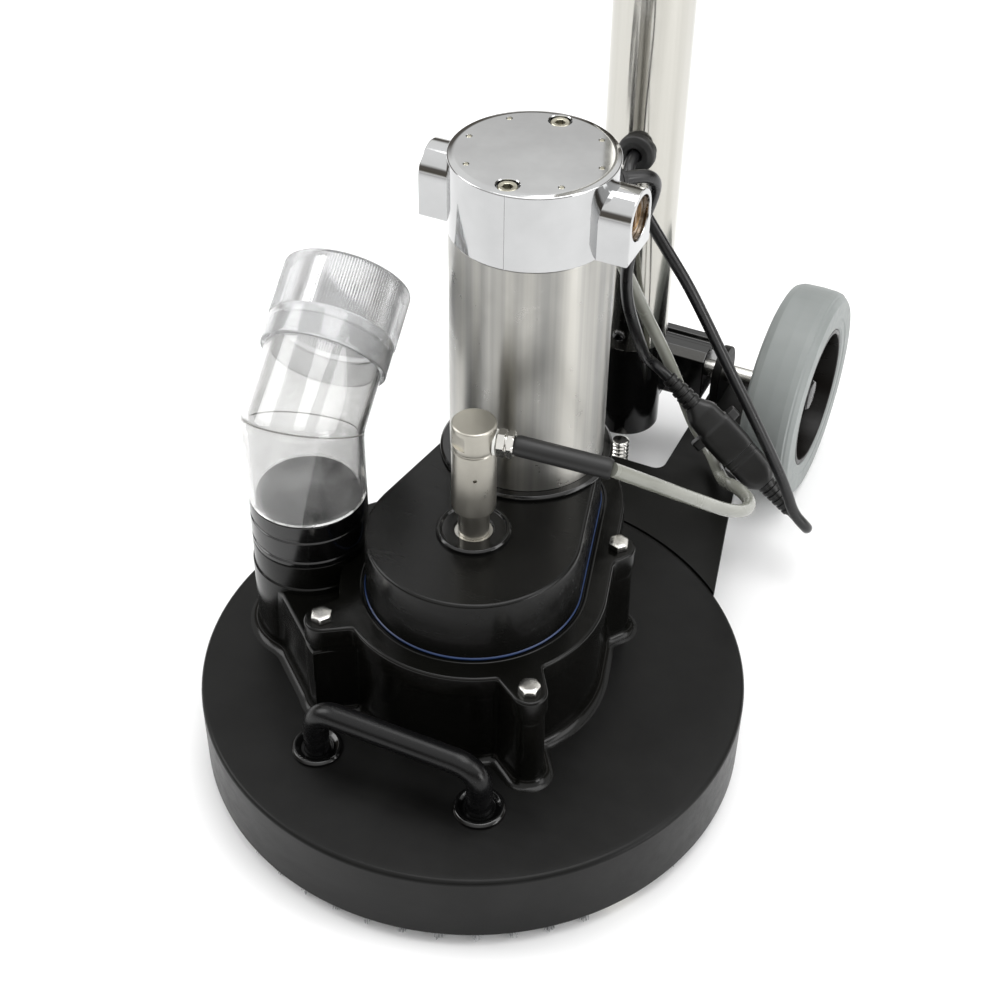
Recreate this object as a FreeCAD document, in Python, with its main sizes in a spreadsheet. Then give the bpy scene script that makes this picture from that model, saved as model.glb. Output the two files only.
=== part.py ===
import FreeCAD, Part
import math
import os
import re
import Sketcher

# Walk-behind rotary carpet and floor extractor: a round deck with a spinning
# vacuum head under it, a belt drive and motor on top, a clear suction elbow,
# and a tube handle that tilts about the wheel axle.
# Frame: +Z up, +Y to the rear, origin on the floor under the middle of the
# object.  Everything on the deck is laid out from the deck's own axis.

Vector = FreeCAD.Vector
UP = Vector(0, 0, 1)

DIMENSIONS = {
    # deck
    "deck_radius": 165.0,
    "deck_top": 57.0,
    "deck_low": 9.0,
    "deck_wall": 4.0,
    "deck_round": 6.0,
    "deck_y": -117.5,
    # belt case on the deck: a teardrop round the spindle and the motor
    "motor_x": -4.4,
    "motor_gap": 83.0,
    "case_front": 77.0,
    "case_back": 60.0,
    "case_top": 111.0,
    "case_wall": 5.0,
    "flange_front": 79.0,
    "flange_back": 62.0,
    "flange_top": 125.0,
    "ear_reach": 92.0,
    "ear_radius": 13.0,
    "gasket_top": 126.5,
    "cover_front": 63.0,
    "cover_back": 46.5,
    "cover_top": 165.0,
    "cover_wall": 4.0,
    "bolt_radius": 3.2,
    "bolt_head": 6.4,
    # suction port and elbow
    "port_x": -106.0,
    "port_y": -5.0,
    "port_radius": 35.0,
    "port_bore": 31.0,
    "port_top": 129.0,
    "collar_top": 161.0,
    "bend_height": 209.0,
    "cuff_start": 40.0,
    "cuff_end": 94.0,
    "cuff_radius": 38.3,
    "cuff_bore": 31.75,
    # motor
    "motor_base": 168.0,
    "motor_radius": 46.3,
    "motor_bore": 42.3,
    "shell_height": 151.0,
    "cap_height": 46.0,
    "cap_radius": 46.8,
    "boss_radius": 16.0,
    "boss_height": 22.0,
    "boss_reach": 62.0,
    "motor_shaft_radius": 6.0,
    # spindle and head
    "spindle_radius": 12.5,
    "spindle_bore": 4.0,
    "spindle_top": 165.5,
    "head_low": 24.0,
    "head_top": 30.0,
    "head_radius": 159.0,
    "pulley_low": 131.0,
    "pulley_height": 20.0,
    "driven_radius": 50.3,
    "drive_radius": 12.1,
    "belt_gap": 0.5,
    "belt_thick": 2.0,
    # water swivel
    "swivel_low": 184.0,
    "swivel_top": 244.0,
    "swivel_radius": 12.65,
    "stem_radius": 6.0,
    "fitting_height": 232.0,
    # tail, axle and wheels
    "tail_under": 51.0,
    "notch_half": 38.0,
    "notch_front": 222.0,
    "axle_y": 324.0,
    "axle_height": 76.0,
    "axle_radius": 6.35,
    "wheel_middle": 99.0,
    "wheel_width": 38.0,
    "tyre_radius": 76.0,
    "hub_radius": 50.0,
    "bracket_in": 42.0,
    "bracket_out": 48.0,
    # handle
    "tube_x": -8.0,
    "tube_y": 267.0,
    "tube_low": 132.0,
    "tube_top": 985.0,
    "tube_radius": 25.4,
    "tube_bore": 23.9,
    "stub_radius": 23.8,
    "stub_low": 58.0,
    "yoke_half": 36.0,
    "bar_height": 1012.0,
    "bar_radius": 11.0,
    "bar_half": 150.0,
    "grip_radius": 16.0,
    # lift handle on the deck
    "lift_half": 52.0,
    "lift_y": -101.0,
    "lift_height": 90.0,
    "lift_radius": 7.5,
    # cords
    "cord_radius": 3.75,
    "hose_radius": 4.2,
    "sleeve_radius": 6.0,
    # fits
    "running": 0.05,
}

doc = FreeCAD.newDocument("FloorExtractor")
sheet = doc.addObject("Spreadsheet::Sheet", "dims")
for row, (alias, number) in enumerate(DIMENSIONS.items(), start=1):
    sheet.set("A%d" % row, alias)
    sheet.set("B%d" % row, str(number))
    sheet.setAlias("B%d" % row, alias)
doc.recompute()

subparts = []


# ---------------------------------------------------------------- helpers


def size(alias):
    """The sheet's value of one dimension."""
    return float(getattr(sheet, alias))


def formula(text):
    """Writes the sheet's name before each dimension in an expression."""
    return re.sub(r"[a-z][a-z_]*", r"dims.\g<0>", str(text))


def bind(thing, where, text):
    thing.setExpression(where, formula(text))


def place(thing, x, y, z):
    bind(thing, "Placement.Base.x", x)
    bind(thing, "Placement.Base.y", y)
    bind(thing, "Placement.Base.z", z)


def keep(thing, label):
    """Names a finished sub-part; its label becomes its file's name."""
    thing.Label = label
    subparts.append(thing)
    return thing


def loose_body(name, x="0", y="deck_y", z="0", turn=None):
    """A body that is still to be joined to others or cut."""
    body = doc.addObject("PartDesign::Body", name)
    if turn:
        body.Placement = FreeCAD.Placement(Vector(), turn)
    place(body, x, y, z)
    return body


def new_body(label, x="0", y="deck_y", z="0", turn=None):
    return keep(loose_body(label, x, y, z, turn), label)


def new_sketch(body, plane="XY_Plane", lift="0"):
    sketch = body.newObject("Sketcher::SketchObject", "sketch")
    support = [item for item in body.Origin.OriginFeatures if item.Role == plane]
    sketch.AttachmentSupport = [(support[0], "")]
    sketch.MapMode = "FlatFace"
    bind(sketch, "AttachmentOffset.Base.z", lift)
    return sketch


def fix_point(sketch, item, end, x, y):
    """Ties one end of a sketch item to two formulas."""
    spot = sketch.getPoint(item, end)
    across = Sketcher.Constraint("DistanceX", -1, 1, item, end, spot.x)
    bind(sketch, "Constraints[%d]" % sketch.addConstraint(across), x)
    along = Sketcher.Constraint("DistanceY", -1, 1, item, end, spot.y)
    bind(sketch, "Constraints[%d]" % sketch.addConstraint(along), y)


def polygon(sketch, corners):
    """A closed outline of straight lines, each corner given by two formulas."""
    count = len(corners)
    first = sketch.GeometryCount
    step = 2 * math.pi / count
    spots = [Vector(9 * math.cos(n * step), 9 * math.sin(n * step), 0) for n in range(count)]
    for n in range(count):
        sketch.addGeometry(Part.LineSegment(spots[n], spots[(n + 1) % count]), False)
    for n in range(count):
        joint = Sketcher.Constraint("Coincident", first + n, 2, first + (n + 1) % count, 1)
        sketch.addConstraint(joint)
    for n, (x, y) in enumerate(corners):
        fix_point(sketch, first + n, 1, x, y)


def disc(sketch, x, y, radius):
    item = sketch.addGeometry(Part.Circle(Vector(1, 1, 0), UP, 5), False)
    number = sketch.addConstraint(Sketcher.Constraint("Radius", item, 5))
    bind(sketch, "Constraints[%d]" % number, radius)
    fix_point(sketch, item, 3, x, y)


def teardrop(sketch, front, back):
    """Two circles, at the spindle and the motor, wrapped in one taut loop."""
    start_front, start_back, gap = 60.0, 45.0, size("motor_gap")
    lean = math.asin((start_front - start_back) / gap)
    far = Vector(0, gap, 0)
    lower = Part.ArcOfCircle(Part.Circle(Vector(), UP, start_front), math.pi - lean, 2 * math.pi + lean)
    upper = Part.ArcOfCircle(Part.Circle(far, UP, start_back), lean, math.pi - lean)
    low = sketch.addGeometry(lower, False)
    high = sketch.addGeometry(upper, False)
    right = sketch.addGeometry(Part.LineSegment(lower.EndPoint, upper.StartPoint), False)
    left = sketch.addGeometry(Part.LineSegment(upper.EndPoint, lower.StartPoint), False)
    for ends in ((low, 2, right, 1), (right, 2, high, 1), (high, 2, left, 1), (left, 2, low, 1)):
        sketch.addConstraint(Sketcher.Constraint("Tangent", *ends))
    for item, radius, start in ((low, front, start_front), (high, back, start_back)):
        number = sketch.addConstraint(Sketcher.Constraint("Radius", item, start))
        bind(sketch, "Constraints[%d]" % number, radius)
    fix_point(sketch, low, 3, "0", "0")
    fix_point(sketch, high, 3, "motor_x", "motor_gap")


def pad(body, sketch, height, both_ways=False):
    feature = body.newObject("PartDesign::Pad", "pad")
    feature.Profile = sketch
    bind(feature, "Length", height)
    feature.Midplane = both_ways
    return feature


def pocket(body, sketch, depth=None, other_way=False):
    """Cuts against the sketch's normal, or right through when no depth is given."""
    feature = body.newObject("PartDesign::Pocket", "pocket")
    feature.Profile = sketch
    feature.Reversed = other_way
    if depth is None:
        feature.Type = "ThroughAll"
    else:
        bind(feature, "Length", depth)
    return feature


def revolve(body, profile):
    """Turns a closed profile of (radius, height) corners about the body's Z."""
    sketch = new_sketch(body, "XZ_Plane")
    polygon(sketch, profile)
    feature = body.newObject("PartDesign::Revolution", "revolution")
    feature.Profile = sketch
    feature.ReferenceAxis = (sketch, ["V_Axis"])
    feature.Angle = 360
    return feature


def turned(label, profile, x="0", y="deck_y", z="0", turn=None):
    body = new_body(label, x, y, z, turn)
    revolve(body, profile)
    return body


def repeat(body, feature, count):
    """Repeats a feature round the body's Z axis."""
    axis = [item for item in body.Origin.OriginFeatures if item.Role == "Z_Axis"][0]
    pattern = body.newObject("PartDesign::PolarPattern", "pattern")
    pattern.Originals = [feature]
    pattern.Axis = (axis, [""])
    pattern.Angle = 360
    pattern.Occurrences = count
    body.Tip = pattern
    return pattern


def round_edges(body, wanted, radius):
    """Fillets the edges of the body's last feature that pass the test."""
    doc.recompute()
    base = body.Tip
    names = ["Edge%d" % n for n, edge in enumerate(base.Shape.Edges, 1) if wanted(edge)]
    feature = body.newObject("PartDesign::Fillet", "fillet")
    feature.Base = (base, names)
    bind(feature, "Radius", radius)
    return feature


def lies_at(edge, height):
    box = edge.BoundBox
    return abs(box.ZMin - height) < 0.01 and abs(box.ZMax - height) < 0.01


def stands(edge, low, high):
    box = edge.BoundBox
    thin = box.XLength < 0.01 and box.YLength < 0.01
    return thin and abs(box.ZMin - low) < 0.01 and abs(box.ZMax - high) < 0.01


def rod(name, radius, length, x="0", y="deck_y", z="0", turn=None):
    """A plain cylinder along its own Z."""
    cylinder = doc.addObject("Part::Cylinder", name)
    if turn:
        cylinder.Placement = FreeCAD.Placement(Vector(), turn)
    bind(cylinder, "Radius", radius)
    bind(cylinder, "Height", length)
    place(cylinder, x, y, z)
    return cylinder


def box(name, width, depth, height, x="0", y="deck_y", z="0", turn=None):
    block = doc.addObject("Part::Box", name)
    if turn:
        block.Placement = FreeCAD.Placement(Vector(), turn)
    bind(block, "Length", width)
    bind(block, "Width", depth)
    bind(block, "Height", height)
    place(block, x, y, z)
    return block


def fuse(first, second):
    joined = doc.addObject("Part::Fuse", "fuse")
    joined.Base = first
    joined.Tool = second
    return joined


def cut(base, tool):
    left = doc.addObject("Part::Cut", "cut")
    left.Base = base
    left.Tool = tool
    return left


def group(label, members):
    """Several like solids kept as one sub-part."""
    together = doc.addObject("Part::Compound", label)
    together.Links = members
    return keep(together, label)


def turn_to(direction):
    """The rotation that lays a part's own Z along a direction."""
    return FreeCAD.Rotation(UP, direction)


def bent_line(points, arc_radii):
    """Straight runs between the points, with a tangent arc at each inner point."""
    edges = []
    start = points[0]
    for before, corner, after, radius in zip(points, points[1:], points[2:], arc_radii):
        back = (before - corner).normalize()
        ahead = (after - corner).normalize()
        half_turn = (math.pi - back.getAngle(ahead)) / 2
        reach = radius * math.tan(half_turn)
        middle = (back + ahead).normalize()
        arc_in = corner + back * reach
        arc_out = corner + ahead * reach
        crown = corner + middle * (radius / math.cos(half_turn) - radius)
        if (arc_in - start).Length > 0.01:
            edges.append(Part.LineSegment(start, arc_in).toShape())
        edges.append(Part.Arc(arc_in, crown, arc_out).toShape())
        start = arc_out
    edges.append(Part.LineSegment(start, points[-1]).toShape())
    return Part.Wire(edges)


def free_arc_radii(points):
    """The largest arcs that two neighbouring runs of a cord allow."""
    radii = []
    for before, corner, after in zip(points, points[1:], points[2:]):
        shorter = min((before - corner).Length, (after - corner).Length)
        turn = math.pi - (before - corner).getAngle(after - corner)
        radii.append(0.45 * shorter / math.tan(turn / 2))
    return radii


def tube_along(points, radius, arc_radii):
    wire = bent_line(points, arc_radii)
    first_run = points[1] - points[0]
    section = Part.Wire([Part.makeCircle(radius, points[0], first_run)])
    shape = wire.makePipeShell([section], True, True)
    return shape, wire.Length


def tube_part(label, points, radius, arc_radii):
    """A solid tube laid out from the deck's axis."""
    shape, length = tube_along(points, radius, arc_radii)
    feature = doc.addObject("Part::Feature", label)
    feature.Shape = shape
    feature.Placement = FreeCAD.Placement(Vector(0, size("deck_y"), 0), FreeCAD.Rotation())
    bind(feature, "Placement.Base.y", "deck_y")
    expected = math.pi * radius ** 2 * length
    print("%s: length %.1f, volume ratio %.4f" % (label, length, shape.Volume / expected))
    return keep(feature, label)


def cord(label, route, radius):
    points = [Vector(*spot) for spot in route]
    radii = free_arc_radii(points)
    print("%s arc radii:" % label, [round(value, 1) for value in radii])
    return tube_part(label, points, radius, radii)


# ---------------------------------------------------------------- deck and tail

EAR_ANGLES = (45, 135, 225, 315)
GLIDE_COUNT = 3
GLIDE_START = 87


def make_deck():
    top, wall = "deck_top", "deck_wall"
    deck = turned("deck_shell", [
        ("26", "%s - %s" % (top, wall)),
        ("26", top),
        ("deck_radius", top),
        ("deck_radius", "deck_low"),
        ("deck_radius - deck_wall", "deck_low"),
        ("deck_radius - deck_wall", "%s - %s" % (top, wall)),
    ])
    holes = new_sketch(deck, lift="deck_top")
    disc(holes, "port_x", "port_y", "port_bore")
    for angle in EAR_ANGLES:
        ear_hole(holes, angle, "bolt_radius + 0.2")
    for side in ("-", ""):
        disc(holes, side + "lift_half", "lift_y", "3.2")
    pocket(deck, holes, "deck_wall + 2")
    rim, top_height = size("deck_radius"), size("deck_top")
    round_edges(deck, lambda edge: lies_at(edge, top_height) and edge.BoundBox.XMax > rim - 1, "deck_round")


def ear_hole(sketch, angle, radius):
    across, along = math.cos(math.radians(angle)), math.sin(math.radians(angle))
    disc(sketch, "ear_reach * %.5f" % across, "ear_reach * %.5f" % along, radius)


def make_tail():
    """The flat plate behind the deck, forked round the foot of the handle."""
    tail = new_body("chassis_tail")
    plate = new_sketch(tail, lift="tail_under")
    polygon(plate, [
        ("-118", "95"), ("118", "95"), ("98", "187"), ("88", "236"), ("76", "243"), ("70", "350"),
        ("notch_half", "350"), ("notch_half", "notch_front"),
        ("-notch_half", "notch_front"), ("-notch_half", "350"),
        ("-70", "350"), ("-76", "243"), ("-88", "236"), ("-98", "187"),
    ])
    pad(tail, plate, "deck_top - tail_under")
    shelf = new_sketch(tail, lift="26")
    polygon(shelf, [("-12", "214"), ("12", "214"), ("12", "252"), ("-12", "252")])
    pad(tail, shelf, "4")
    drop = new_sketch(tail, lift="26")
    polygon(drop, [("-12", "214"), ("12", "214"), ("12", "218"), ("-12", "218")])
    pad(tail, drop, "tail_under - 26")
    rim = new_sketch(tail, lift="deck_top + 1")
    disc(rim, "0", "0", "deck_radius + 0.1")
    pocket(tail, rim, "50")
    screw_hole = new_sketch(tail, lift="31")
    disc(screw_hole, "0", "240", "4")
    pocket(tail, screw_hole, "8")
    top = size("deck_top")
    side = lambda edge: lies_at(edge, top) and edge.BoundBox.YMin > 100 and edge.BoundBox.YMax < 240
    round_edges(tail, lambda edge: side(edge) and edge.BoundBox.XLength < 30, "2")


def make_stop_screw():
    """The threaded stop that the handle's foot comes down on."""
    profile = [("0", "20"), ("4", "20"), ("4", "30"), ("6.5", "30")]
    for turn in range(7):
        low = 31.5 + 3.2 * turn
        profile += [("6.5", "%.1f" % low), ("5.3", "%.1f" % (low + 0.8))]
        profile += [("5.3", "%.1f" % (low + 1.6)), ("6.5", "%.1f" % (low + 2.4))]
    profile += [("6.5", "55"), ("5", "57.5"), ("0", "57.5")]
    turned("stop_screw", profile, y="deck_y + 240")


def make_lift_handle():
    reach, height, y = size("lift_half"), size("lift_height"), size("lift_y")
    foot = size("deck_top") + 3.0
    corners = [(-reach, y, foot), (-reach, y, height), (reach, y, height), (reach, y, foot)]
    tube_part("lift_handle", [Vector(*spot) for spot in corners], size("lift_radius"), (13.0, 13.0))
    dish = [("0", "0"), ("15.2", "0"), ("15.2", "1.2"), ("12.8", "3"), ("8.4", "2.2"), ("8.4", "3"), ("0", "3")]
    washers = []
    for side in ("-", ""):
        washer = loose_body("washer", side + "lift_half", "deck_y + lift_y", "deck_top")
        revolve(washer, dish)
        washers.append(washer)
    group("lift_handle_washers", washers)


# ---------------------------------------------------------------- belt case


def ears(body, radius, low, height):
    """Four lugs that carry the case bolts, each a slot from the middle outwards."""
    for angle in EAR_ANGLES:
        across, along = math.cos(math.radians(angle)), math.sin(math.radians(angle))
        lug = new_sketch(body, lift=low)
        inner = "40"
        sides = []
        for reach, side in ((inner, -1), ("ear_reach", -1), ("ear_reach", 1), (inner, 1)):
            x = "%s * %.5f + (%s) * %.5f" % (reach, across, radius, -side * along)
            y = "%s * %.5f + (%s) * %.5f" % (reach, along, radius, side * across)
            sides.append((x, y))
        polygon(lug, sides)
        pad(body, lug, height)
        end = new_sketch(body, lift=low)
        ear_hole(end, angle, radius)
        pad(body, end, height)


def ear_corner(edge, low, high):
    """An upright inner corner where a lug meets the teardrop wall."""
    if not stands(edge, low, high):
        return False
    reach = math.hypot(edge.Vertexes[0].X, edge.Vertexes[0].Y)
    return size("case_back") < reach < size("ear_reach") - 2


def make_case_lower():
    case = new_body("case_lower")
    wall = new_sketch(case, lift="deck_top")
    teardrop(wall, "case_front", "case_back")
    pad(case, wall, "case_top - deck_top")
    ears(case, "ear_radius", "deck_top", "case_top - deck_top")
    web = new_sketch(case, lift="deck_top")
    polygon(web, [
        ("port_x - 4", "port_y - port_radius"), ("-65", "-78"), ("-30", "-40"),
        ("-30", "40"), ("-62", "66"), ("port_x - 4", "port_y + port_radius"),
    ])
    pad(case, web, "case_top - deck_top - 3")
    port = new_sketch(case, lift="deck_top")
    disc(port, "port_x", "port_y", "port_radius + 1")
    pad(case, port, "case_top - deck_top + 1")
    rim = new_sketch(case, lift="deck_top")
    disc(rim, "port_x", "port_y", "port_radius")
    pad(case, rim, "port_top - deck_top")
    hollow = new_sketch(case, lift="case_top")
    teardrop(hollow, "case_front - case_wall - 2", "case_back - case_wall - 2")
    pocket(case, hollow, "case_top - deck_top - 6")
    seat = new_sketch(case, lift="deck_top")
    disc(seat, "0", "0", "31")
    pad(case, seat, "54")
    bore = new_sketch(case, lift="port_top")
    disc(bore, "0", "0", "23.5")
    disc(bore, "port_x", "port_y", "port_bore")
    pocket(case, bore)
    low, high = size("deck_top"), size("case_top")
    bolts = new_sketch(case, lift="case_top")
    for angle in EAR_ANGLES:
        ear_hole(bolts, angle, "bolt_radius + 0.2")
    pocket(case, bolts)
    round_edges(case, lambda edge: ear_corner(edge, low, high), "6")


def make_case_flange():
    flange = new_body("case_flange")
    wall = new_sketch(flange, lift="case_top")
    teardrop(wall, "flange_front", "flange_back")
    pad(flange, wall, "flange_top - case_top")
    ears(flange, "ear_radius + 1", "case_top", "flange_top - case_top")
    hollow = new_sketch(flange, lift="flange_top")
    teardrop(hollow, "cover_front - 6", "cover_back - 6")
    pocket(flange, hollow)
    bolts = new_sketch(flange, lift="flange_top")
    for angle in EAR_ANGLES:
        ear_hole(bolts, angle, "bolt_radius + 0.2")
    pocket(flange, bolts)
    relief = new_sketch(flange, lift="flange_top")
    disc(relief, "port_x", "port_y", "port_radius + 1")
    pocket(flange, relief)
    low, high = size("case_top"), size("flange_top")
    round_edges(flange, lambda edge: ear_corner(edge, low, high), "8")
    outside = size("cover_front")
    rim = lambda edge: math.hypot(edge.Vertexes[0].X, edge.Vertexes[0].Y) > outside
    hole = lambda edge: edge.Curve.TypeId == "Part::GeomCircle" and edge.Curve.Radius < 5
    wanted = lambda edge: lies_at(edge, high) and rim(edge) and not hole(edge)
    round_edges(flange, lambda edge: wanted(edge) and outside_cover(edge), "1.5")


def outside_cover(edge):
    """True where an edge runs outside the cover's own outline."""
    middle = edge.CenterOfMass
    spindle = math.hypot(middle.x, middle.y)
    motor = math.hypot(middle.x - size("motor_x"), middle.y - size("motor_gap"))
    beside = 0 < middle.y < size("motor_gap") and abs(middle.x) < size("cover_back") + 8
    return spindle > size("cover_front") and motor > size("cover_back") and not beside


def make_gasket_and_cover():
    gasket = new_body("case_gasket")
    band = new_sketch(gasket, lift="flange_top")
    teardrop(band, "cover_front + 0.6", "cover_back + 0.6")
    teardrop(band, "cover_front - 6", "cover_back - 6")
    pad(gasket, band, "gasket_top - flange_top")

    cover = new_body("belt_cover")
    wall = new_sketch(cover, lift="gasket_top")
    teardrop(wall, "cover_front", "cover_back")
    pad(cover, wall, "cover_top - gasket_top")
    top = size("cover_top")
    round_edges(cover, lambda edge: lies_at(edge, top), "2.5")
    hollow = new_sketch(cover, lift="gasket_top")
    teardrop(hollow, "cover_front - cover_wall", "cover_back - cover_wall")
    pocket(cover, hollow, "cover_top - cover_wall - gasket_top", other_way=True)
    holes = new_sketch(cover, lift="cover_top")
    disc(holes, "0", "0", "spindle_radius + 2")
    disc(holes, "motor_x", "motor_gap", "20")
    pocket(cover, holes, "cover_wall + 2")


def make_case_bolts():
    bolts = []
    for angle in EAR_ANGLES:
        across, along = math.cos(math.radians(angle)), math.sin(math.radians(angle))
        x = "ear_reach * %.5f" % across
        y = "deck_y + ear_reach * %.5f" % along
        head = doc.addObject("Part::Prism", "head")
        head.Polygon = 6
        bind(head, "Circumradius", "bolt_head")
        bind(head, "Height", "4.5")
        place(head, x, y, "flange_top")
        shank = rod("shank", "bolt_radius", "flange_top - deck_top + 10", x, y, "deck_top - 10")
        bolts.append(fuse(head, shank))
    group("case_bolts", bolts)


# ---------------------------------------------------------------- suction elbow

ELBOW_TILT = 60.0
ELBOW_HEADING = 98.5


def elbow_direction():
    tilt, heading = math.radians(ELBOW_TILT), math.radians(ELBOW_HEADING)
    flat = math.sin(tilt)
    return Vector(flat * math.cos(heading), flat * math.sin(heading), math.cos(tilt))


def make_elbow():
    x, y = "port_x", "deck_y + port_y"
    turned("swivel_collar", [
        ("port_bore - 2.5", "port_top - 12"), ("port_bore - running", "port_top - 12"),
        ("port_bore - running", "port_top + 0.4"), ("port_radius", "port_top + 0.4"),
        ("port_radius", "collar_top - 1"), ("port_radius - 0.6", "collar_top"),
        ("port_bore - 2.5", "collar_top"),
    ], x, y)

    def pipe(inset, low):
        """The outer or inner form: an upright pipe, a ball corner, a tilted pipe."""
        radius = "port_radius - %s" % inset
        upright = rod("upright", radius, "bend_height - collar_top - %s" % low, x, y, "collar_top + %s" % low)
        corner = doc.addObject("Part::Sphere", "corner")
        bind(corner, "Radius", radius)
        place(corner, x, y, "bend_height")
        length = "cuff_start + 14 + %s" % inset
        tilted = rod("tilted", radius, length, x, y, "bend_height", turn_to(elbow_direction()))
        return fuse(fuse(upright, corner), tilted)

    keep(cut(pipe("0", "0"), pipe("3.5", "0 - 1")), "vacuum_elbow")

    cuff = turned("hose_cuff", [
        ("port_radius + running", "cuff_start"), ("cuff_radius - 1", "cuff_start"),
        ("cuff_radius", "cuff_start + 1"), ("cuff_radius", "cuff_end - 1"),
        ("cuff_radius - 1", "cuff_end"), ("cuff_bore", "cuff_end"),
        ("cuff_bore", "cuff_start + 15"), ("port_radius + running", "cuff_start + 15"),
    ], x, y, "bend_height", turn_to(elbow_direction()))
    groove = new_sketch(cuff, lift="cuff_end")
    disc(groove, "cuff_radius + 0.4", "0", "1")
    rib = pocket(cuff, groove, "cuff_end - cuff_start - 20")
    doc.recompute()
    repeat(cuff, rib, 60)


# ---------------------------------------------------------------- motor


def make_motor():
    x, y = "motor_x", "deck_y + motor_gap"
    turned("motor_end_bell", [
        ("16", "cover_top"), ("motor_radius + 6", "cover_top"), ("motor_radius + 6", "cover_top + 2"),
        ("motor_radius + 5", "motor_base"), ("motor_bore", "motor_base"),
        ("motor_bore", "motor_base + 8"), ("22", "motor_base + 8"), ("22", "motor_base + 14"),
        ("16", "motor_base + 14"),
    ], x, y)
    turned("motor_shell", [
        ("motor_bore", "0"), ("motor_radius", "0"), ("motor_radius", "shell_height"),
        ("motor_bore", "shell_height"),
    ], x, y, "motor_base")
    make_end_cap(y)
    make_brushes(y)
    make_magnets(y)

    keep(rod("motor_shaft", "motor_shaft_radius", "cover_top + 58", x, y, "130"), "motor_shaft")
    turned("armature", [
        ("motor_shaft_radius", "45"), ("35", "45"), ("35", "135"), ("22", "135"), ("17", "142"),
        ("17", "177"), ("motor_shaft_radius", "177"),
    ], x, y, "motor_base")
    races = []
    for z in ("motor_base + 2", "motor_base + shell_height + 28.5"):
        race = rod("race", "16", "10", x, y, z)
        hole = rod("hole", "motor_shaft_radius + running", "10", x, y, z)
        races.append(cut(race, hole))
    group("motor_bearings", races)


CAP_SCREW_ANGLES = (92, 272)


def make_end_cap(y):
    cap = turned("motor_end_cap", [
        ("0", "cap_height"), ("cap_radius", "cap_height"), ("cap_radius", "0"), ("motor_bore", "0"),
        ("motor_bore", "36"), ("21", "36"), ("21", "28"), ("16", "28"), ("16", "39"), ("0", "39"),
    ], "motor_x", y, "motor_base + shell_height")
    for lift in ("43", "-boss_reach"):
        block = new_sketch(cap, "YZ_Plane", lift)
        polygon(block, [
            ("-boss_radius", "0"), ("boss_radius", "0"),
            ("boss_radius", "boss_height"), ("-boss_radius", "boss_height"),
        ])
        pad(cap, block, "boss_reach - 43")
        arch = new_sketch(cap, "YZ_Plane", lift)
        disc(arch, "0", "boss_height", "boss_radius")
        pad(cap, arch, "boss_reach - 43")
    for lift, other_way in (("boss_reach", False), ("-boss_reach", True)):
        recess = new_sketch(cap, "YZ_Plane", lift)
        disc(recess, "0", "boss_height", "12.5")
        pocket(cap, recess, "6", other_way)
        channel = new_sketch(cap, "YZ_Plane", lift)
        disc(channel, "0", "boss_height", "8")
        pocket(cap, channel, "boss_reach - 38", other_way)
    drill = new_sketch(cap, lift="cap_height")
    for angle in CAP_SCREW_ANGLES:
        disc(drill, "37 * %.4f" % math.cos(math.radians(angle)), "37 * %.4f" % math.sin(math.radians(angle)), "6.4")
    pocket(cap, drill, "5")
    pins = new_sketch(cap, lift="cap_height")
    for angle in (0, 45, 135, 180, 225, 315):
        disc(pins, "38.5 * %.4f" % math.cos(math.radians(angle)), "38.5 * %.4f" % math.sin(math.radians(angle)), "1.9")
    pocket(cap, pins, "3")
    screws = []
    for angle in CAP_SCREW_ANGLES:
        across, along = math.cos(math.radians(angle)), math.sin(math.radians(angle))
        x = "motor_x + 37 * %.4f" % across
        spot = "%s + 37 * %.4f" % (y, along)
        z = "motor_base + shell_height + cap_height - 5"
        head = rod("head", "5.5", "4", x, spot, z)
        socket = doc.addObject("Part::Prism", "socket")
        socket.Polygon = 6
        bind(socket, "Circumradius", "2.9")
        bind(socket, "Height", "3")
        place(socket, x, spot, z + " + 1.5")
        screws.append(cut(head, socket))
    group("motor_cap_screws", screws)


def make_brushes(y):
    """Each brush with its cap: slotted caps outside, carbon blocks on the commutator."""
    height = "motor_base + shell_height + boss_height"
    caps = []
    blocks = []
    for side in (1, -1):
        out = FreeCAD.Rotation(Vector(0, 1, 0), 90 * side)
        sign = "1 * " if side == 1 else "-1 * "
        plate = rod("plate", "12.3", "3", "motor_x + " + sign + "(boss_reach - 6)", y, height, out)
        low = "boss_reach - 4.6" if side == 1 else "-boss_reach + 2.6"
        slot = box("slot", "2", "14", "2.4", "motor_x + " + low, y + " - 7", height + " - 1.2")
        caps.append(cut(plate, slot))
        start = "17.2" if side == 1 else "-37.2"
        blocks.append(box("carbon", "20", "8", "12", "motor_x + " + start, y + " - 4", height + " - 7"))
    group("brush_caps", caps)
    group("carbon_brushes", blocks)


def make_magnets(y):
    arcs = []
    for start in (20, 200):
        outer = rod("outer", "motor_bore - 0.1", "80", "motor_x", y, "motor_base + 40", FreeCAD.Rotation(UP, start))
        outer.Angle = 140
        inner = rod("inner", "37", "80", "motor_x", y, "motor_base + 40")
        arcs.append(cut(outer, inner))
    group("motor_magnets", arcs)


# ---------------------------------------------------------------- belt and spindle


def pulley(label, radius, bore, teeth, x, y):
    wheel = turned(label, [
        (bore, "pulley_low"), (radius, "pulley_low"), (radius, "pulley_low + pulley_height"),
        (bore, "pulley_low + pulley_height"),
    ], x, y)
    gap = new_sketch(wheel, lift="pulley_low + pulley_height")
    disc(gap, "%s + 0.3" % radius, "0", "1.5")
    tooth = pocket(wheel, gap)
    doc.recompute()
    repeat(wheel, tooth, teeth)


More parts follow.
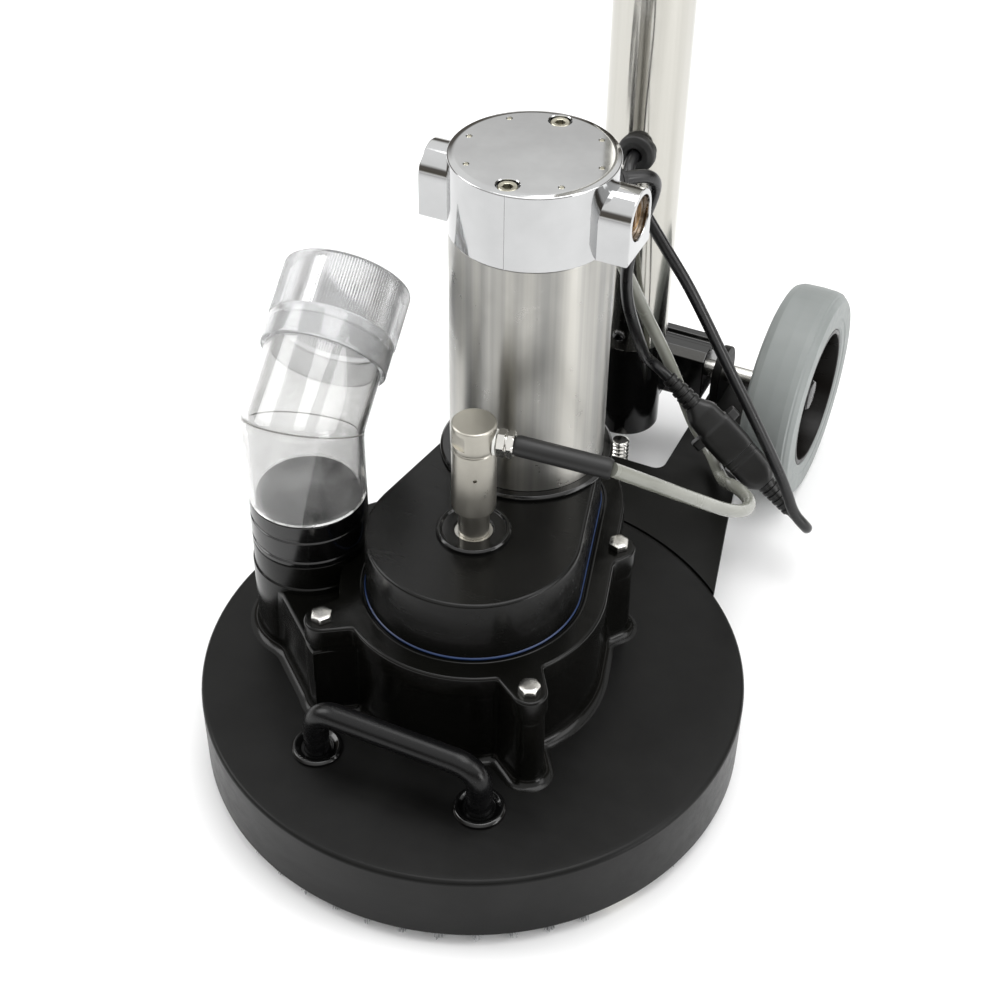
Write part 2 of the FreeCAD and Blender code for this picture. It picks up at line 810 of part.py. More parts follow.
def make_drive():
    pulley("driven_pulley", "driven_radius", "spindle_radius", 64, "0", "deck_y")
    pulley("drive_pulley", "drive_radius", "motor_shaft_radius", 16, "motor_x", "deck_y + motor_gap")
    belt = new_body("timing_belt")
    band = new_sketch(belt, lift="pulley_low + 2")
    teardrop(band, "driven_radius + belt_gap + belt_thick", "drive_radius + belt_gap + belt_thick")
    teardrop(band, "driven_radius + belt_gap", "drive_radius + belt_gap")
    pad(belt, band, "pulley_height - 4")

    turned("hub_shaft", [
        ("spindle_bore", "head_low"), ("spindle_radius", "head_low"), ("spindle_radius", "head_top"),
        ("30", "head_top"), ("30", "head_top + 6"), ("15", "head_top + 6"), ("15", "deck_top + 2"),
        ("spindle_radius", "deck_top + 2"), ("spindle_radius", "spindle_top"),
        ("spindle_bore", "spindle_top"),
    ])
    races = []
    for z in ("deck_top + 3", "case_top - 13"):
        race = rod("race", "23.5", "12", z=z)
        hole = rod("hole", "spindle_radius + running", "12", z=z)
        races.append(cut(race, hole))
    group("hub_bearings", races)


def make_swivel():
    turned("spindle_seal", [
        ("14.5", "cover_top"), ("21.6", "cover_top"), ("21.6", "cover_top + 1.8"),
        ("20.6", "cover_top + 3"), ("18.8", "cover_top + 2"), ("11", "cover_top + 1.6"),
        ("11", "cover_top + 0.7"), ("14.5", "cover_top + 0.7"),
    ])
    turned("swivel_stem", [
        ("spindle_bore", "spindle_top"), ("8.9", "spindle_top"), ("8.9", "swivel_low - 0.4"),
        ("stem_radius", "swivel_low - 0.4"), ("stem_radius", "swivel_top - 24"),
        ("spindle_bore", "swivel_top - 24"),
    ])
    body = loose_body("body")
    revolve(body, [
        ("stem_radius + running", "swivel_low"), ("swivel_radius - 0.5", "swivel_low"),
        ("swivel_radius", "swivel_low + 0.5"), ("swivel_radius", "226.4"), ("swivel_radius - 0.5", "227"),
        ("swivel_radius - 0.5", "228"), ("swivel_radius", "228.6"), ("swivel_radius", "swivel_top - 0.8"),
        ("swivel_radius - 0.8", "swivel_top"), ("0", "swivel_top"), ("0", "swivel_top - 22"),
        ("stem_radius + running", "swivel_top - 22"),
    ])
    flats = new_sketch(body, lift="swivel_top - 3.5")
    for side in ("", "-"):
        near, far = side + "11.4", side + "14"
        polygon(flats, [("-9", near), ("9", near), ("9", far), ("-9", far)])
    pocket(body, flats, "9")
    spot_face = rod("spot_face", "7.6", "4", *along_fitting(FITTING_FACE))
    keep(cut(body, spot_face), "swivel_body")


FITTING_HEADING = Vector(0.976, 0.217, 0)
FITTING_FACE = 11.2
NUT_FACE = FITTING_FACE + 1.6


def along_fitting(reach):
    """A place on the side outlet's own line, and the turn that points along it."""
    x, y = FITTING_HEADING.x * reach, FITTING_HEADING.y * reach
    return "%.3f" % x, "deck_y + %.3f" % y, "fitting_height", turn_to(FITTING_HEADING)


def make_hose_fitting():
    """The swivel's side outlet: a washer, a hexagon nut and a black hose sleeve."""
    keep(rod("hose_washer", "7.4", "1.6", *along_fitting(FITTING_FACE)), "hose_washer")
    x, y, z, turn = along_fitting(NUT_FACE)
    nut = doc.addObject("Part::Prism", "nut")
    nut.Placement = FreeCAD.Placement(Vector(), turn)
    nut.Polygon = 6
    bind(nut, "Circumradius", "8")
    bind(nut, "Height", "10")
    place(nut, x, y, z)
    keep(nut, "hose_nut")
    near, far = Vector(*HOSE_SLEEVE[0]), Vector(*HOSE_SLEEVE[1])
    length = "%.3f" % (far - near).Length
    spot = (str(near.x), "deck_y + %s" % near.y, str(near.z), turn_to(far - near))
    keep(rod("hose_sleeve", "sleeve_radius", length, *spot), "hose_sleeve")


# ---------------------------------------------------------------- spinning head


def make_head():
    plate = turned("head_plate", [
        ("spindle_radius", "head_low"), ("head_radius", "head_low"), ("head_radius", "head_top"),
        ("spindle_radius", "head_top"),
    ])
    mouth = new_sketch(plate, lift="head_top")
    across, along = math.cos(math.radians(GLIDE_START)), math.sin(math.radians(GLIDE_START))
    corners = []
    for reach, side in ((66, -1.9), (152, -1.9), (152, 1.9), (66, 1.9)):
        corners.append(("%.3f" % (reach * across - side * along), "%.3f" % (reach * along + side * across)))
    polygon(mouth, corners)
    first_mouth = pocket(plate, mouth)
    doc.recompute()
    repeat(plate, first_mouth, GLIDE_COUNT)
    glides = []
    jets = []
    for number in range(GLIDE_COUNT):
        angle = 360.0 * number / GLIDE_COUNT + GLIDE_START
        turn = FreeCAD.Rotation(UP, angle)
        bar = doc.addObject("Part::Box", "bar")
        bind(bar, "Length", "98")
        bind(bar, "Width", "22")
        bind(bar, "Height", "head_low")
        bar.Placement = FreeCAD.Placement(turn.multVec(Vector(60, -11, 0)), turn)
        bind(bar, "Placement.Base.y", "deck_y + %.4f" % turn.multVec(Vector(60, -11, 0)).y)
        slot = doc.addObject("Part::Box", "slot")
        bind(slot, "Length", "86")
        bind(slot, "Width", "3.8")
        bind(slot, "Height", "head_low")
        slot.Placement = FreeCAD.Placement(turn.multVec(Vector(66, -1.9, 0)), turn)
        bind(slot, "Placement.Base.y", "deck_y + %.4f" % turn.multVec(Vector(66, -1.9, 0)).y)
        glides.append(cut(bar, slot))
        across, along = math.cos(math.radians(angle + 60)), math.sin(math.radians(angle + 60))
        jets.append(rod("jet", "5", "9", "45 * %.4f" % across, "deck_y + 45 * %.4f" % along, "head_low - 9"))
    group("vacuum_glides", glides)
    group("spray_jets", jets)
    tufts = []
    for ring, count in ((155.5, 48), (132, 24), (112, 18)):
        for number in range(count):
            angle = 360.0 * (number + 0.5) / count
            if abs((angle - GLIDE_START + 60) % 120 - 60) < 8:
                continue
            across, along = math.cos(math.radians(angle)), math.sin(math.radians(angle))
            x = "%.1f * %.4f" % (ring, across)
            y = "deck_y + %.1f * %.4f" % (ring, along)
            tufts.append(rod("tuft", "3.2", "head_low - 0.5", x, y, "0.5"))
    group("brush_tufts", tufts)


# ---------------------------------------------------------------- wheels and handle

SIDEWAYS = FreeCAD.Rotation(Vector(0, 1, 0), 90)


def make_wheels():
    y, z = "deck_y + axle_y", "axle_height"
    half = "wheel_width / 2"
    for name, side in (("right", 1), ("left", -1)):
        sign = "" if side == 1 else "-"
        outward = FreeCAD.Rotation(Vector(0, 1, 0), 90 * side)
        turned("tyre_" + name, [
            ("hub_radius", "-wheel_width / 2"), ("tyre_radius - 5", "-wheel_width / 2"),
            ("tyre_radius - 1", "-wheel_width / 2 + 4"), ("tyre_radius", "-wheel_width / 2 + 8"),
            ("tyre_radius", half + " - 8"), ("tyre_radius - 1", half + " - 4"),
            ("tyre_radius - 5", half), ("hub_radius", half),
        ], sign + "wheel_middle", y, z, outward)
        turned("wheel_hub_" + name, [
            ("axle_radius + running", "-wheel_width / 2 - 2"), ("14", "-wheel_width / 2 - 2"),
            ("14", "-wheel_width / 2"), ("hub_radius", "-wheel_width / 2"), ("hub_radius", half + " - 1"),
            ("hub_radius - 4", half + " - 1"), ("hub_radius - 5", "-wheel_width / 2 + 7"),
            ("14", "-wheel_width / 2 + 7"), ("14", "8"), ("axle_radius + running", "8"),
        ], sign + "wheel_middle", y, z, outward)
    keep(rod("wheel_axle", "axle_radius", "2 * wheel_middle + 21", "-wheel_middle - 10.5", y, z, SIDEWAYS), "wheel_axle")
    collars = []
    for x in ("wheel_middle - 24.5", "21.5 - wheel_middle"):
        collar = rod("collar", "11", "3", x, y, z, SIDEWAYS)
        hole = rod("hole", "axle_radius", "3", x, y, z, SIDEWAYS)
        collars.append(cut(collar, hole))
    for x, socket in (("wheel_middle + 8.5", "wheel_middle + 8.5"), ("-wheel_middle - 13.5", "-wheel_middle - 10.5")):
        end_cap = rod("end_cap", "11", "5", x, y, z, SIDEWAYS)
        hole = rod("hole", "axle_radius", "2", socket, y, z, SIDEWAYS)
        collars.append(cut(end_cap, hole))
    group("axle_collars", collars)
    ears_made = []
    for x in ("bracket_in", "-bracket_out"):
        plate = box("plate", "bracket_out - bracket_in", "38", "axle_height - deck_top", x, y + " - 19", "deck_top")
        crown = rod("crown", "axle_height - deck_top", "bracket_out - bracket_in", x, y, z, SIDEWAYS)
        hole = rod("hole", "axle_radius", "bracket_out - bracket_in", x, y, z, SIDEWAYS)
        ears_made.append(cut(fuse(plate, crown), hole))
    group("axle_brackets", ears_made)


def make_yoke():
    """The cast foot of the handle: a stub in the tube and a block on the axle."""
    yoke = new_body("handle_yoke", y="deck_y + axle_y", z="axle_height")
    side = new_sketch(yoke, "YZ_Plane")
    polygon(side, [
        ("-20", "-17"), ("12", "-17"), ("17", "-10"), ("17", "16"), ("11", "22"), ("4", "22"),
        ("3", "20"), ("-3", "20"), ("-4", "22"), ("-13", "22"), ("-20", "17"),
    ])
    pad(yoke, side, "2 * yoke_half", both_ways=True)
    stub = new_sketch(yoke, lift="stub_low - axle_height")
    disc(stub, "tube_x", "tube_y - axle_y", "stub_radius")
    pad(yoke, stub, "tube_low - stub_low + 55")
    web = new_sketch(yoke, lift="stub_low - axle_height + 3")
    polygon(web, [
        ("tube_x - 16", "-50"), ("tube_x + 16", "-50"), ("tube_x + 16", "-10"), ("tube_x - 16", "-10"),
    ])
    pad(yoke, web, "34")
    bore = new_sketch(yoke, "YZ_Plane", "-yoke_half")
    disc(bore, "0", "0", "axle_radius + running")
    pocket(yoke, bore, None, other_way=True)


GROMMET_SPOTS = ((-3.0, 285.0), (-9.0, 236.0))


def make_tube():
    tube = turned("handle_tube", [
        ("tube_bore", "tube_low"), ("tube_radius", "tube_low"),
        ("tube_radius", "tube_top"), ("tube_bore", "tube_top"),
    ], "tube_x", "deck_y + tube_y")
    holes = new_sketch(tube, "XZ_Plane")
    for x, z in GROMMET_SPOTS:
        disc(holes, "%s - tube_x" % x, str(z), "7")
    pocket(tube, holes, "tube_radius + 2", other_way=True)
    rings = []
    for x, z in GROMMET_SPOTS:
        flat = FreeCAD.Rotation(Vector(1, 0, 0), 90)
        spot = (str(x), "deck_y + tube_y - 20", str(z), flat)
        ring = cut(rod("ring", "12.5", "11.5", *spot), rod("hole", "6.9", "11.5", *spot))
        tube_space = rod("space", "tube_radius", "60", "tube_x", "deck_y + tube_y", "%s - 30" % z)
        rings.append(cut(ring, tube_space))
    group("tube_grommets", rings)
    screws = []
    for heading in (-88, 92):
        out = Vector(math.cos(math.radians(heading)), math.sin(math.radians(heading)), 0)
        spot = ("tube_x + %.3f * tube_radius" % out.x, "deck_y + tube_y + %.3f * tube_radius" % out.y, "144", turn_to(out))
        screws.append(rod("screw", "4.4", "2.6", *spot))
    group("stub_screws", screws)


def make_handle_top():
    y = "deck_y + tube_y"
    head = new_body("handle_head", "tube_x", y)
    block = new_sketch(head, lift="tube_top")
    polygon(block, [("-34", "-26"), ("34", "-26"), ("40", "0"), ("34", "34"), ("-34", "34"), ("-40", "0")])
    pad(head, block, "56")
    crown = size("tube_top") + 56
    round_edges(head, lambda edge: lies_at(edge, crown), "5")
    plug_in = new_sketch(head, lift="tube_top - 40")
    disc(plug_in, "0", "0", "tube_bore - 0.1")
    pad(head, plug_in, "40")
    cross = new_sketch(head, "YZ_Plane", "-60")
    disc(cross, "0", "bar_height", "bar_radius + 0.05")
    pocket(head, cross, None, other_way=True)
    window = new_sketch(head, lift="tube_top + 56")
    polygon(window, [("-13", "14"), ("13", "14"), ("13", "28"), ("-13", "28")])
    pocket(head, window, "8")
    slot = new_sketch(head, lift="tube_top")
    polygon(slot, [("27", "13"), ("42", "13"), ("42", "25"), ("27", "25")])
    pocket(head, slot, "10", other_way=True)
    pivots = new_sketch(head, "XZ_Plane", "-30")
    disc(pivots, "32", "tube_top + 5", "1.55")
    pocket(head, pivots, "22", other_way=True)
    switch_pin = new_sketch(head, "YZ_Plane", "-15")
    disc(switch_pin, "21", "tube_top + 52", "1.55")
    pocket(head, switch_pin, "30", other_way=True)

    bar = rod("handle_crossbar", "bar_radius", "2 * bar_half", "tube_x - bar_half", y, "bar_height", SIDEWAYS)
    keep(bar, "handle_crossbar")
    grips = []
    for x, inside in (("tube_x + 54", "tube_x + 54"), ("tube_x - bar_half - 2", "tube_x - bar_half")):
        grip = rod("grip", "grip_radius", "bar_half - 52", x, y, "bar_height", SIDEWAYS)
        hole = rod("hole", "bar_radius", "bar_half - 54", inside, y, "bar_height", SIDEWAYS)
        grips.append(cut(grip, hole))
    group("handle_grips", grips)

    rocker = box("rocker", "25", "12", "8", "tube_x - 12.5", y + " + 15", "tube_top + 49.5")
    rocker_pin = rod("pin", "1.5", "29", "tube_x - 14.5", y + " + 21", "tube_top + 52", SIDEWAYS)
    keep(fuse(rocker, rocker_pin), "motor_switch")
    lever = new_body("spray_trigger", "tube_x", y, "tube_top + 1")
    blade = new_sketch(lever)
    polygon(blade, [("29", "14"), ("122", "14"), ("130", "19"), ("122", "24"), ("29", "24")])
    pad(lever, blade, "6")
    pivot = new_sketch(lever, "XZ_Plane", "-27")
    disc(pivot, "32", "4", "1.5")
    pad(lever, pivot, "16")


# ---------------------------------------------------------------- cords and connectors

# Routes are laid out from the deck's axis.  The black handle cord leaves the
# upper grommet, hangs past the wheel and doubles back into the in-line socket.
HANDLE_CORD = [
    (-3, 242, 285), (-3.5, 230, 284.5), (0, 219, 279), (9, 213, 269.5), (20, 211, 256),
    (33, 210.5, 239), (48, 210.5, 219), (64, 211, 192), (80, 212, 163.5), (99, 212.5, 132),
    (118, 213, 99), (128.5, 213.3, 78), (135.5, 213.7, 60), (145.1, 216.6, 48.8),
    (144.2, 223.2, 42.8), (137.4, 229.1, 42.6), (130.5, 229.2, 48.4),
]
MOTOR_CORD = [
    (31.5, 125.8, 336), (40, 136, 335), (43.5, 145, 327), (40, 151, 312), (33, 152, 290),
    (26, 154, 264), (24, 163, 232), (24.5, 181, 199), (23, 202, 170), (20, 220, 149),
    (24.8, 230.5, 136.7), (34, 231, 129),
]
HOSE_SLEEVE = [(22.2, 5.0, 232), (75.3, 15.3, 226)]
SOLUTION_HOSE = [
    (75.3, 15.3, 226), (86.5, 31, 211), (98, 52, 191), (108.5, 80, 165), (117.5, 106, 141),
    (123.5, 128, 125), (122, 146, 117.5), (112.5, 161, 111), (100, 179, 99), (88.5, 204, 77.5),
    (78, 223.5, 68), (66, 242.5, 67), (50, 251.5, 77), (40, 251.5, 98), (34, 246, 120),
    (26, 238, 146), (18, 227, 173), (10, 218, 200), (2, 214, 219), (-6, 219, 232),
    (-9, 231, 236), (-9, 243.2, 236),
]
CONNECTOR_START = Vector(34, 231, 129)
CONNECTOR_END = Vector(130.5, 229.2, 48.4)
VIEW_SIDE = Vector(-0.51, -0.617, -0.6)


def connector_place(along):
    """A placement whose Z runs down the pair of connectors."""
    down = (CONNECTOR_END - CONNECTOR_START).normalize()
    turn = FreeCAD.Rotation(VIEW_SIDE, Vector(), down, "ZXY")
    return turn, CONNECTOR_START + down * along


def connector_block(name, width, depth, length, along):
    turn, spot = connector_place(along)
    corner = spot + turn.multVec(Vector(-width / 2, -depth / 2, 0))
    return box(name, str(width), str(depth), str(length), "%.4f" % corner.x,
               "deck_y + %.4f" % corner.y, "%.4f" % corner.z, turn)


def connector_cone(name, radius_start, radius_end, length, along):
    turn, spot = connector_place(along)
    cone = doc.addObject("Part::Cone", name)
    cone.Placement = FreeCAD.Placement(spot, turn)
    bind(cone, "Radius1", radius_start)
    bind(cone, "Radius2", radius_end)
    bind(cone, "Height", length)
    place(cone, "%.4f" % spot.x, "deck_y + %.4f" % spot.y, "%.4f" % spot.z)
    return cone


def make_connectors():
    total = (CONNECTOR_END - CONNECTOR_START).Length
    relief, plug_end, socket_end = 26.0, 70.0, total - 28.0
    plug = fuse(connector_cone("relief", "cord_radius + 1", "7", relief + 2, 0),
                connector_block("plug", 27, 19, plug_end - relief, relief))
    wings = connector_block("wings", 38, 12, 7, 44)
    keep(fuse(plug, wings), "inline_plug")
    socket = fuse(connector_block("socket", 25, 17, socket_end - plug_end, plug_end),
                  connector_cone("relief", "7", "cord_radius + 1", total - socket_end + 2, socket_end - 2))
    keep(socket, "inline_socket")


def make_cords():
    cord("handle_cord", HANDLE_CORD, size("cord_radius"))
    cord("motor_cord", MOTOR_CORD, size("cord_radius"))
    cord("solution_hose", SOLUTION_HOSE, size("hose_radius"))
    out = Vector(math.cos(math.radians(50)), math.sin(math.radians(50)), 0)
    turned("motor_lead_bushing", [
        ("0", "0"), ("7", "0"), ("7", "3"), ("5.5", "3"), ("5", "9"), ("0", "9"),
    ], "motor_x + (cap_radius + running) * %.5f" % out.x, "deck_y + motor_gap + (cap_radius + running) * %.5f" % out.y,
       "336", turn_to(out))


# ---------------------------------------------------------------- build and write

make_deck()
make_tail()
make_stop_screw()
make_lift_handle()
make_case_lower()
make_case_flange()
make_gasket_and_cover()
make_case_bolts()
make_elbow()
make_motor()
make_drive()
make_swivel()
make_hose_fitting()
make_head()
make_wheels()
make_yoke()
make_tube()
make_handle_top()
make_connectors()
make_cords()
doc.recompute()

for item in doc.Objects:
    if "Invalid" in item.State or "Error" in item.State:
        raise RuntimeError("%s (%s) did not build: %s" % (item.Name, item.Label, item.State))
for item in subparts:
    if item.Shape.isNull() or not item.Shape.isValid() or not item.Shape.Solids:
        raise RuntimeError("%s has no valid solid" % item.Label)

os.makedirs("parts", exist_ok=True)
for item in subparts:
    item.Shape.exportStep("parts/%s.step" % item.Label)
print("%d sub-parts written" % len(subparts))
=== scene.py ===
import math
import random

import bpy
import bmesh
import numpy as np
from mathutils import Matrix, Quaternion, Vector


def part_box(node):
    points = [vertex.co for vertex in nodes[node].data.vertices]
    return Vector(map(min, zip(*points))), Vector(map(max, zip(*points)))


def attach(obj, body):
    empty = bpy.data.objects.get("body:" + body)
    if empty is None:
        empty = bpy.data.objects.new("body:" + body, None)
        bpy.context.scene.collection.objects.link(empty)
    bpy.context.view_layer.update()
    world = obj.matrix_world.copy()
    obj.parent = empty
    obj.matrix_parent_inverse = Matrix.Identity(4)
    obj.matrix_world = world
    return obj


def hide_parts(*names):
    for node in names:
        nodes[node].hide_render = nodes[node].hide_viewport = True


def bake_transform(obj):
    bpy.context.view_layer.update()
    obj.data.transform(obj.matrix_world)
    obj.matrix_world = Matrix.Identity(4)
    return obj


# The visible pieces, materials and light of a walk-behind floor extractor.  Shapes are laid out in
# millimetres from the deck's own axis, as the CAD part is, and placed in the frame in metres.

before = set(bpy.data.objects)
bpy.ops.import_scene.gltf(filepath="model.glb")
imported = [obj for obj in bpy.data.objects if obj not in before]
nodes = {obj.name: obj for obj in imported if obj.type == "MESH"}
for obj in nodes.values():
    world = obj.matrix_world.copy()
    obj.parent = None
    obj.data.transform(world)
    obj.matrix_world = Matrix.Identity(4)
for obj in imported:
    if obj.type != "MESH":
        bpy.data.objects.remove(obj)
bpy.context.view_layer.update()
scene = bpy.context.scene

deck_lo, deck_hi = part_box("deck_shell")
AXIS = Vector(((deck_lo.x + deck_hi.x) / 2, (deck_lo.y + deck_hi.y) / 2, 0))
MM = 0.001
UP = Vector((0, 0, 1))

# Driving places and heights.
CASE_TOP, COVER_TOP, CAP_TOP, BRUSH_HEIGHT = 125, 165, 365.0, 341
PORT = (-106, -5)
MOTOR = Vector((-4.4, 83.0))
TUBE = (-8, 267)
AXLE = (324, 76)
EAR_REACH = 92.0
LIFT_X, LIFT_Y = 52, -101
BRISTLE_RINGS = ((155.5, 48), (132, 24), (112, 18))


def spot(x, y, z):
    """A point of the frame, in metres, from millimetres off the deck's axis."""
    return AXIS + Vector((x, y, z)) * MM


def at(x=0.0, y=0.0, z=0.0, direction=None, twist=0.0):
    """Places a shape made in millimetres, its Z laid along a direction."""
    turn = Quaternion()
    if direction is not None:
        turn = UP.rotation_difference(Vector(direction).normalized())
    turn = turn @ Quaternion(UP, math.radians(twist))
    return Matrix.Translation(spot(x, y, z)) @ turn.to_matrix().to_4x4() @ Matrix.Scale(MM, 4)


def polar(radius, degrees):
    """The flat point this far out at this angle."""
    angle = math.radians(degrees)
    return radius * math.cos(angle), radius * math.sin(angle)


def block(x_low, y_low, x_high, y_high):
    """A rectangle's corners."""
    return [(x_low, y_low), (x_high, y_low), (x_high, y_high), (x_low, y_high)]


# ---------------- materials


class Look:
    """A node material being put together."""

    def __init__(self, name):
        self.material = bpy.data.materials.new(name)
        self.material.use_nodes = True
        self.tree = self.material.node_tree
        self.shader = self.tree.nodes["Principled BSDF"]
        self.coords = self.tree.nodes.new("ShaderNodeTexCoord")

    def link(self, out, into):
        self.tree.links.new(out, into)

    def set(self, **values):
        for key, value in values.items():
            self.shader.inputs[key.replace("_", " ")].default_value = value

    def node(self, kind, **inputs):
        """Adds a node and sets its inputs; an underscore in a name stands for a space."""
        made = self.tree.nodes.new("ShaderNode" + kind)
        for key, value in inputs.items():
            made.inputs[key.replace("_", " ")].default_value = value
        return made

    def noise(self, size_mm, detail=3.0, stretch=(1, 1, 1), rough=0.55):
        """Noise whose patches are about this large; stretch draws them out."""
        mapping = self.node("Mapping", Scale=[1000.0 / size_mm / s for s in stretch])
        self.link(self.coords.outputs["Object"], mapping.inputs["Vector"])
        noise = self.node("TexNoise", Scale=1.0, Detail=detail, Roughness=rough)
        self.link(mapping.outputs["Vector"], noise.inputs["Vector"])
        return noise.outputs["Fac"]

    def vary(self, name, source, low, high):
        """Lets the middle of the source's range carry one of the shader's inputs from low to high."""
        ranged = self.node("MapRange", From_Min=0.3, From_Max=0.7, To_Min=low, To_Max=high)
        self.link(source, ranged.inputs["Value"])
        self.link(ranged.outputs["Result"], self.shader.inputs[name])

    def colours(self, source, first, second, begin=0.35, end=0.65):
        ramp = self.node("ValToRGB")
        for element, place, colour in zip(ramp.color_ramp.elements, (begin, end), (first, second)):
            element.position = place
            element.color = (*colour, 1)
        self.link(source, ramp.inputs["Fac"])
        self.link(ramp.outputs["Color"], self.shader.inputs["Base Color"])

    def bump(self, source, height_mm, strength=1.0):
        """Adds a bump on top of any that the shader already has."""
        bump = self.node("Bump", Distance=height_mm * MM, Strength=strength)
        self.link(source, bump.inputs["Height"])
        normal = self.shader.inputs["Normal"]
        if normal.is_linked:
            self.link(normal.links[0].from_socket, bump.inputs["Normal"])
        self.link(bump.outputs["Normal"], normal)


def shade(colour, factor):
    return tuple(min(1.0, value * factor) for value in colour)


def plastic(name, colour, rough, grain_mm=0.5, height_mm=0.02, vary=0.25, patch_mm=35, scuff=0.06,
            shine=0.5):
    """Moulded plastic or paint: cloudy colour, uneven gloss, a fine grain and faint scuffs."""
    look = Look(name)
    look.colours(look.noise(patch_mm, 4), shade(colour, 1 - vary), shade(colour, 1 + vary))
    look.vary("Roughness", look.noise(9, 6, (6, 1, 1), 0.7), rough + scuff, rough - scuff)
    look.bump(look.noise(grain_mm, 2), height_mm)
    look.bump(look.noise(14, 3), 0.05, 0.25)
    look.set(Specular_IOR_Level=shine)
    return look.material


def metal(name, colour, rough, line_mm, height_mm, vary, smudge, stretch=(1, 1, 1)):
    """Bare metal: its drawn or turned lines, and smudges that dull the polish."""
    look = Look(name)
    look.colours(look.noise(28, 5), shade(colour, 1 - vary), shade(colour, 1 + vary))
    look.vary("Roughness", look.noise(16, 6, rough=0.65), rough - smudge, rough + smudge)
    look.bump(look.noise(line_mm, 3, stretch), height_mm)
    look.set(Metallic=1.0)
    return look.material


def polished_with_painted_streaks(name, dark, bright, rough, spread):
    """Polished tube whose reflections are drawn out along its length; its base colour is painted in light
    and dark reflection streaks up its length.
    """
    look = Look(name)
    # Painted reflection: the base colour runs in light and dark bands drawn out along the length, standing
    # in for streaks of reflection.
    look.colours(look.noise(10, 3, (1, 1, 60)), dark, bright)
    look.vary("Roughness", look.noise(16, 5, rough=0.65), rough - 0.04, rough + 0.05)
    look.bump(look.noise(0.6, 3, (1, 1, 60)), 0.003)
    around = look.node("Tangent")
    around.direction_type = "RADIAL"
    around.axis = "Z"
    look.link(around.outputs["Tangent"], look.shader.inputs["Tangent"])
    look.set(Metallic=1.0, Anisotropic=spread, Anisotropic_Rotation=0.25)
    return look.material


def clear(name, tint, rough, ior, milky, through):
    """Clear plastic with milky clouds: how much light passes there and between them."""
    look = Look(name)
    look.colours(look.noise(30, 3), shade(tint, 0.97), tint)
    look.vary("Roughness", look.noise(20, 4), rough, rough + 0.03)
    look.bump(look.noise(12, 2), 0.03, 0.3)
    look.vary("Transmission Weight", look.noise(30, 4), milky, through)
    look.set(IOR=ior)
    return look.material


BLACK = (0.0045, 0.0045, 0.0043)
CASE_BLACK = (0.0020, 0.0020, 0.0016)

deck_top = plastic("deck_plastic", BLACK, 0.35, 0.7, 0.03, 0.25, shine=0.14)
case_black = plastic("case_black", CASE_BLACK, 0.19, 0.5, 0.008, 0.2, scuff=0.04, shine=0.2)
cover_black = plastic("cover_black", (0.003, 0.003, 0.0027), 0.24, 0.45, 0.01, 0.2, shine=0.2)
gloss_black = plastic("gloss_black", (0.002, 0.002, 0.0020), 0.13, 1.2, 0.006, 0.15, scuff=0.04)
tail_black = plastic("powder_black", (0.003, 0.003, 0.0025), 0.42, 0.8, 0.04, 0.2, shine=0.16)
rubber_black = plastic("rubber_black", (0.008, 0.008, 0.008), 0.45, 0.6, 0.02, 0.25, shine=0.4)
cord_black = plastic("cord_jacket", (0.004, 0.004, 0.0045), 0.3, 0.5, 0.01, 0.2, shine=0.45)
connector_grey = plastic("connector_plastic", (0.006, 0.006, 0.0058), 0.36, 0.5, 0.03, 0.2, shine=0.4)
grip_rubber = plastic("grip_rubber", (0.012, 0.012, 0.013), 0.6, 0.9, 0.06, 0.2)
gasket_blue = plastic("gasket_rubber", (0.004, 0.022, 0.085), 0.4, 0.6, 0.01, 0.15)
tyre_grey = plastic("tyre_rubber", (0.20, 0.215, 0.21), 0.5, 0.6, 0.02, 0.06, 60, 0.08)
hub_black = plastic("hub_plastic", (0.0030, 0.0024, 0.0018), 0.3, 0.8, 0.02, 0.25, shine=0.16)
nylon_white = plastic("nylon_white", (0.72, 0.72, 0.69), 0.4, 0.6, 0.01, 0.04)
seam_grey = plastic("seam_grey", (0.40, 0.39, 0.38), 0.3, 0.6, 0.005, 0.2)
glide_pale = plastic("glide_plastic", (0.62, 0.60, 0.52), 0.42, 0.6, 0.02, 0.06)
bristle_grey = plastic("bristle_nylon", (0.26, 0.265, 0.27), 0.45, 0.4, 0.01, 0.3, 6)
carbon_black = plastic("pressed_carbon", (0.02, 0.02, 0.021), 0.6, 0.4, 0.02, 0.3)
magnet_grey = plastic("ceramic_magnet", (0.035, 0.035, 0.037), 0.7, 0.5, 0.03, 0.2)
switch_red = plastic("switch_red", (0.30, 0.012, 0.008), 0.25, 0.8, 0.006, 0.1)
belt_black = plastic("belt_rubber", (0.015, 0.015, 0.015), 0.6, 0.5, 0.04, 0.2)

chrome_cap = metal("polished_cap", (0.45, 0.453, 0.455), 0.08, 1.5, 0.003, 0.05, 0.03)
# The dark and bright colours given here are the tones of painted reflection streaks on the shell and the
# tube.
shell_metal = polished_with_painted_streaks("polished_shell", (0.30, 0.298, 0.285), (0.44, 0.43, 0.40), 0.30, 0.85)
tube_chrome = polished_with_painted_streaks("tube_chrome", (0.43, 0.42, 0.385), (0.50, 0.49, 0.455), 0.13, 0.7)
swivel_steel = metal("swivel_steel", (0.37, 0.355, 0.315), 0.33, 0.35, 0.012, 0.06, 0.06, (12, 12, 1))
bright_steel = metal("bright_steel", (0.60, 0.59, 0.56), 0.22, 0.7, 0.01, 0.1, 0.08)
dark_bronze = metal("dark_bronze", (0.20, 0.13, 0.07), 0.38, 0.8, 0.02, 0.3, 0.1)
brass_tone = metal("brass_tone", (0.46, 0.44, 0.36), 0.28, 0.8, 0.01, 0.15, 0.1)
alloy = metal("machined_alloy", (0.66, 0.67, 0.68), 0.32, 0.4, 0.01, 0.08, 0.08, (12, 12, 1))
